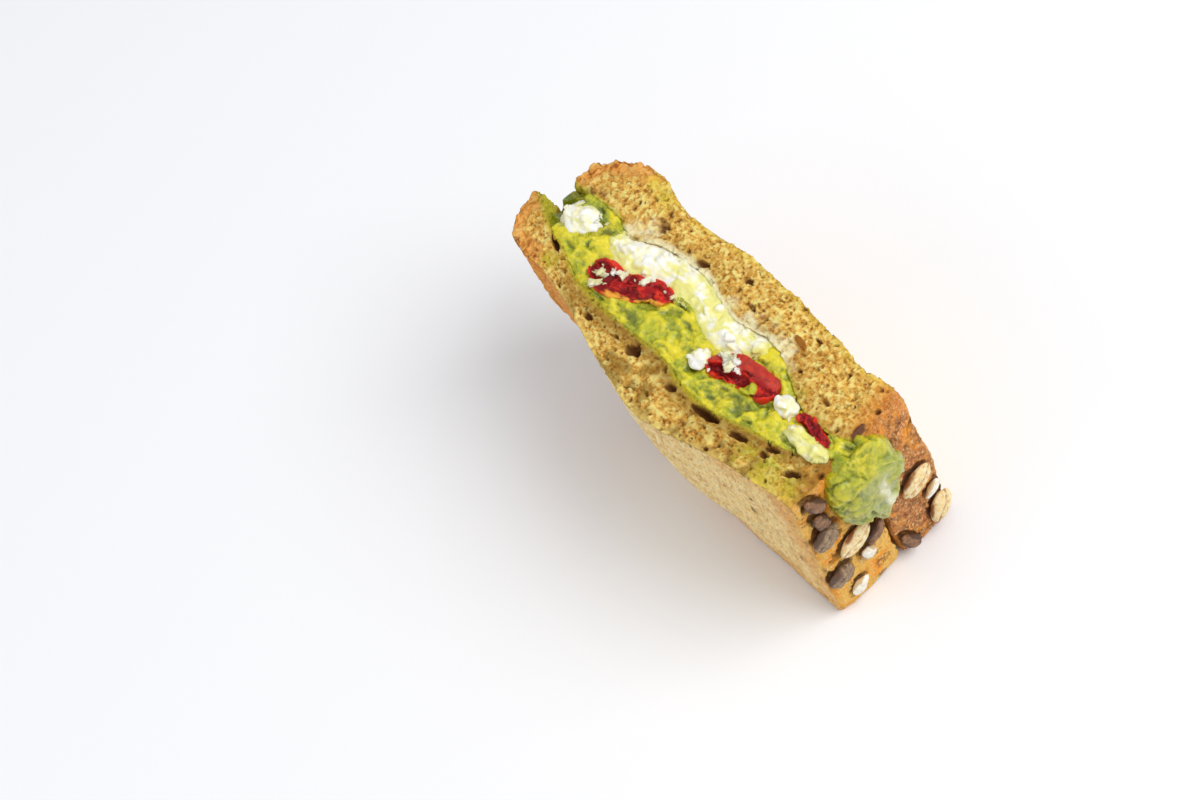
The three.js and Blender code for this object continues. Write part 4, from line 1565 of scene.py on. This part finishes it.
TOMATOES = (
    Tomato("tomato_1", (-32, -4.2), (-8.6, 1.6), (5, 2.2), -1, (0.16, 0.2, 0.0, 0.8), 0.9,
           0.3, 0.0, 301),
    Tomato("tomato_2", (11.8, -2.8), (30.6, 3.6), (3.8, 3.5), 1, (0.34, 0.38, -0.55, 0.5), 1.8,
           2.0, 0.8, 311, Oval(24.4, -1.2, 2.6, 1.9, 20)),
    Tomato("tomato_3", (39, 2.1), (50, 1.2), (1.4, 1.5), 0.3, (0.5, 0.4, 0.5, 0.5), 0.2,
           2.0, 0.0, 321),
)


@dataclass(frozen=True)
class Crumbs:
    """Loose crumbs of cheese that lie on the cut face.

    Attributes:
        spots: x, y and size of each.
        rough: how uneven they are.
        form: their length, width and height as shares of their size.
        rest: how high their middles lie, as a share of their size.
        turn: how far each is turned from the one before, in radians.
    """

    spots: tuple[Triple, ...] = (
        (-28.1, -4.1, 2.3), (-27.6, -6.8, 2.1), (-26.9, -1.3, 1.8), (-24.9, -0.9, 1.3),
        (-22.6, -0.5, 1.6), (-20.4, 0.2, 0.7), (-17.4, 1.5, 1.7), (-16.1, 3.2, 1.1),
        (-11.6, 2.9, 1.0), (-9.6, 3.4, 1.4), (-29.8, -2.0, 0.8), (-25.6, -5.4, 0.6),
        (37.8, -0.4, 1.0), (41.2, -1.8, 0.9), (-50.4, 2.6, 1.0), (-40.2, 5.2, 1.2),
        (-38.6, 6.6, 0.9), (13.5, -4.6, 0.8), (14.4, 0.9, 2.6), (16.6, 0.2, 2.8),
        (18.7, -0.3, 1.8),
    )
    rough: float = 0.75
    form: Triple = (1.4, 0.9, 0.6)
    rest: float = 0.2
    turn: float = 1.9

    def build(self, material: Material, ground: Sequence[Piece]) -> None:
        """Makes the crumbs and lays them on the pieces under them."""
        graph = bpy.context.evaluated_depsgraph_get()
        trees = [BVHTree.FromObject(piece, graph) for piece in ground]
        bm = bmesh.new()
        for number, (x, y, size) in enumerate(self.spots):
            above = Vector(((x - MIDDLE[0]) * MM, (y - MIDDLE[1]) * MM, 0.2))
            hits = [tree.ray_cast(above, Vector((0, 0, -1)))[0] for tree in trees]
            height = max(hit.z for hit in hits if hit is not None)
            verts = bmesh.ops.create_icosphere(
                bm, subdivisions=BALL_DETAIL, radius=0.5 * size * MM)["verts"]
            points = np.array([v.co for v in verts])
            marks = points / MM + 7 * number
            points += self.rough * size * MM * pushes(marks, 0.9, 3, (401, 404, 407))
            middle = np.array([above.x, above.y, height + self.rest * size * MM])
            turn = Matrix.Rotation(self.turn * number, 3, "Z")
            points = points * self.form @ np.array(turn)
            for vert, co in zip(verts, points + middle):
                vert.co = co
        piece = to_object("cheese_crumbs", bm)
        marks = coordinates(piece.data) / MM
        paint(piece.data, tint=0.5 * smoothstep(grain(marks, 3, 407), -0.2, 0.5))
        finish_piece(piece, material)


# -------- the whole


BOTTOM = Slice(
    name="slice_bottom", outline=Outline(-61.2), outer_line=line_through(BOTTOM_OUTER),
    inner_line=line_through(BOTTOM_INNER), rim_y=-17.0, dome_draw=-5.0, side=-1, cut_lean=1.2,
    dome_end=-47, tan=0.9, toasted=0.35, seeds=seed_places(BOTTOM_BASE_SEEDS, 11),
    patches=rows(
        Patch,
        ("stain", 36, -13.4, 4, 0.6), ("stain", 44, -12.8, 5.5, 0.85), ("stain", 50, -12, 4, 0.6),
        ("stain", -42, -9.8, 3.2, 0.85), ("stain", -57, 1.5, 3.5, 0.7), ("gold", 44, -16, 4, 0.5),
        ("gold", 52, -15, 4, 0.4), ("olive", 52, -8, 4.5, 0.8), ("olive", 24, -15, 6, 0.6),
        ("olive", 33, -14.5, 5, 0.6),
    ),
    holes=rows(
        Hole,
        (-6, -13, 2.4, 1.7, 20, 4.5), (20.8, -12.6, 4.4, 1.2, 8, 4.5),
        (48.6, -9.4, 2.4, 1.1, 30, 3.5), (31, -11.4, 3, 1.0, 15, 3),
        (-22, -14.2, 1.5, 1.0, 0, 2.2), (-45.2, -5.8, 3.0, 0.9, -25, 3.5),
        (54, -5.2, 0.8, 0.8, 0, 2), (9, -13.6, 2.0, 1.0, 10, 2.5), (40, -8.2, 2.2, 0.8, 20, 2.5),
    ),
    dents=rows(
        Hole,
        (-13.2, 57.5, 1.0, 2.0, 0, 1.6), (-8.2, 51.7, 2.2, 1.1, 60, 2.2),
        (-12.1, 28.6, 2.5, 1.0, 30, 1.8), (1.6, 27.5, 3.2, 1.0, 80, 2.6),
        (-5.5, 20, 1.4, 1.0, 0, 1.2), (-12.5, 46, 1.2, 1.6, 0, 1.6),
    ),
)
TOP = Slice(
    name="slice_top", outline=Outline(-55.5), outer_line=line_through(TOP_OUTER),
    inner_line=line_through(TOP_INNER), rim_y=22.7, dome_draw=4.0, side=1, cut_lean=4.4,
    dome_end=-40, tan=0.05, toasted=0.7, seeds=seed_places(TOP_BASE_SEEDS, 23),
    patches=rows(
        Patch,
        ("gold", -37, 22.6, 4, 0.8), ("gold", -30.5, 21.2, 4, 0.7), ("stain", -33, 21.5, 2.5, 0.5),
        ("cream", -28.2, 11.6, 4.5, 0.75), ("cream", -32, 9.4, 3.5, 0.7),
        ("cream", 11.3, 9.6, 4.5, 0.85), ("cream", 17.7, 10.6, 4.5, 0.9),
        ("cream", 22.4, 12.6, 3.5, 0.8), ("cream", 3, 12, 2.5, 0.5), ("cream", 27, 9.4, 2.5, 0.4),
        ("speck", -49.2, 9.4, 1.7, 0.7), ("speck", -46.3, 11.7, 1.6, 0.7),
        ("stain", 34, 6.4, 3, 0.4),
    ),
    holes=rows(
        Hole,
        (-11, 14.6, 2.0, 1.1, 20, 2.4), (29.8, 10.4, 0.7, 0.6, 0, 2.0),
        (-24.8, 19.2, 0.8, 0.6, 0, 1.0), (52.0, 15.2, 0.9, 0.9, 0, 1.6),
        (-26, 14.5, 1.2, 0.9, 0, 1.6), (2, 19, 1.4, 0.8, 30, 1.8),
    ),
    dents=rows(
        Hole,
        (12.6, 51.4, 2.2, 1.3, 60, 3.2), (21.4, 49.4, 1.6, 1.3, 0, 1.2),
        (9, 37, 1.3, 1.0, 20, 1.4), (17.5, 44, 1.5, 1.0, 40, 1.0), (14, 24, 1.2, 0.9, 0, 1.2),
    ),
    inlays=(Inlay(24.6, 15.7, 2.7, 1.0, -13, "nut"), Inlay(52.8, 8.4, 2.8, 1.2, 98, "seed")),
)

SEED_FINISHES = {
    SeedKind.PUMPKIN: SeedFinish(
        "pumpkin_seed", (138, 108, 80), (176, 150, 116), (82, 58, 42), (98, 70, 52)),
    SeedKind.KERNEL: SeedFinish(
        "split_kernel", (244, 212, 146), (254, 240, 200), (216, 162, 92), (158, 98, 50)),
    SeedKind.FLAKE: SeedFinish(
        "oat_flake", (248, 240, 220), (254, 250, 240), (216, 190, 150), (214, 180, 130)),
    SeedKind.HUSK: SeedFinish(
        "brown_husk", (122, 82, 54), (160, 118, 82), (72, 44, 30), (84, 54, 38)),
}


@dataclass(frozen=True)
class Sandwich:
    """The half sandwich: two slices of bread with their seeds, and the fillings."""

    slices: tuple[Slice, ...] = (BOTTOM, TOP)
    cheeses: tuple[Cheese, ...] = CHEESES
    tomatoes: tuple[Tomato, ...] = TOMATOES

    def build(self) -> None:
        """Builds every piece of the sandwich."""
        bread = BreadFinish().material()
        ground = [piece.build(bread) for piece in self.slices]
        for kind, finish in SEED_FINISHES.items():
            Seeds(kind, finish).build(self.slices)
        ground.append(Avocado().build(AvocadoFinish()))
        cheese = CheeseFinish().material()
        ground += [piece.build(cheese) for piece in self.cheeses]
        tomato = TomatoFinish().material()
        ground += [piece.build(tomato) for piece in self.tomatoes]
        Crumbs().build(cheese, ground)


# -------- the studio


@dataclass(frozen=True)
class Studio:
    """A pale floor, soft light from above on the right, and the camera."""

    floor_half: float = 3.0
    floor_colour: tuple = (250, 250, 252)
    floor_patches: float = 400.0
    lights: tuple = (("key", (0.6, 0.55, 1.05), 12.5), ("fill", (-0.3, -0.9, 0.5), 2.5))
    light_size: float = 0.9
    lit_height: float = 0.04
    sky_colour: tuple = (0.95, 0.975, 1.0, 1.0)
    sky_strength: float = 0.52
    lens_mm: float = 85.0
    sensor_mm: float = 36.0
    camera_at: tuple = (351.68, -110.12, 645.94)
    camera_right: tuple = (0.62784196, 0.72654909, -0.27917897)
    camera_down: tuple = (0.58303487, -0.67662946, -0.44971426)

    def build(self) -> None:
        """Builds the floor, the lights and the camera."""
        self.floor()
        for name, place, power in self.lights:
            self.light(name, place, power)
        self.sky()
        self.camera()

    def floor(self) -> None:
        """A large pale floor just under the food."""
        bm = bmesh.new()
        bmesh.ops.create_grid(bm, x_segments=1, y_segments=1, size=self.floor_half)
        floor = to_object("floor", bm)
        s = Shader("pale_floor")
        duller = tuple(part - 3 for part in self.floor_colour)
        colour = s.mix(s.noise(self.floor_patches, 2), self.floor_colour, duller)
        s.join(colour, s.surface.inputs["Base Color"])
        s.set(Roughness=0.6)
        floor.data.materials.append(s.material)

    def light(self, name: str, place: tuple, power: float) -> None:
        """A soft square light that looks at the food."""
        lamp = bpy.data.lights.new(name, "AREA")
        lamp.size = self.light_size
        lamp.energy = power
        holder = bpy.data.objects.new(name, lamp)
        holder.location = place
        look = Vector((0, 0, self.lit_height)) - Vector(place)
        holder.rotation_euler = look.to_track_quat("-Z", "Y").to_euler()
        bpy.context.scene.collection.objects.link(holder)

    def sky(self) -> None:
        """An even white light from all round."""
        world = bpy.data.worlds.new("soft_white")
        world.use_nodes = True
        background = world.node_tree.nodes["Background"]
        background.inputs["Color"].default_value = self.sky_colour
        background.inputs["Strength"].default_value = self.sky_strength
        bpy.context.scene.world = world
        bpy.context.scene.view_settings.view_transform = "Standard"

    def camera(self) -> None:
        """The camera, rolled so that the food leans across the frame."""
        data = bpy.data.cameras.new("camera")
        data.lens = self.lens_mm
        data.sensor_width = self.sensor_mm
        right = Vector(self.camera_right).normalized()
        up = -Vector(self.camera_down).normalized()
        back = right.cross(up)
        turn = Matrix((right, up, back)).transposed().to_4x4()
        camera = bpy.data.objects.new("camera", data)
        camera.matrix_world = Matrix.Translation(Vector(self.camera_at) * MM) @ turn
        bpy.context.scene.collection.objects.link(camera)
        bpy.context.scene.camera = camera


def main() -> None:
    """Builds the sandwich and its studio."""
    logging.basicConfig(level=logging.INFO, format="%(message)s")
    Sandwich().build()
    Studio().build()


if __name__ == "__main__":
    main()
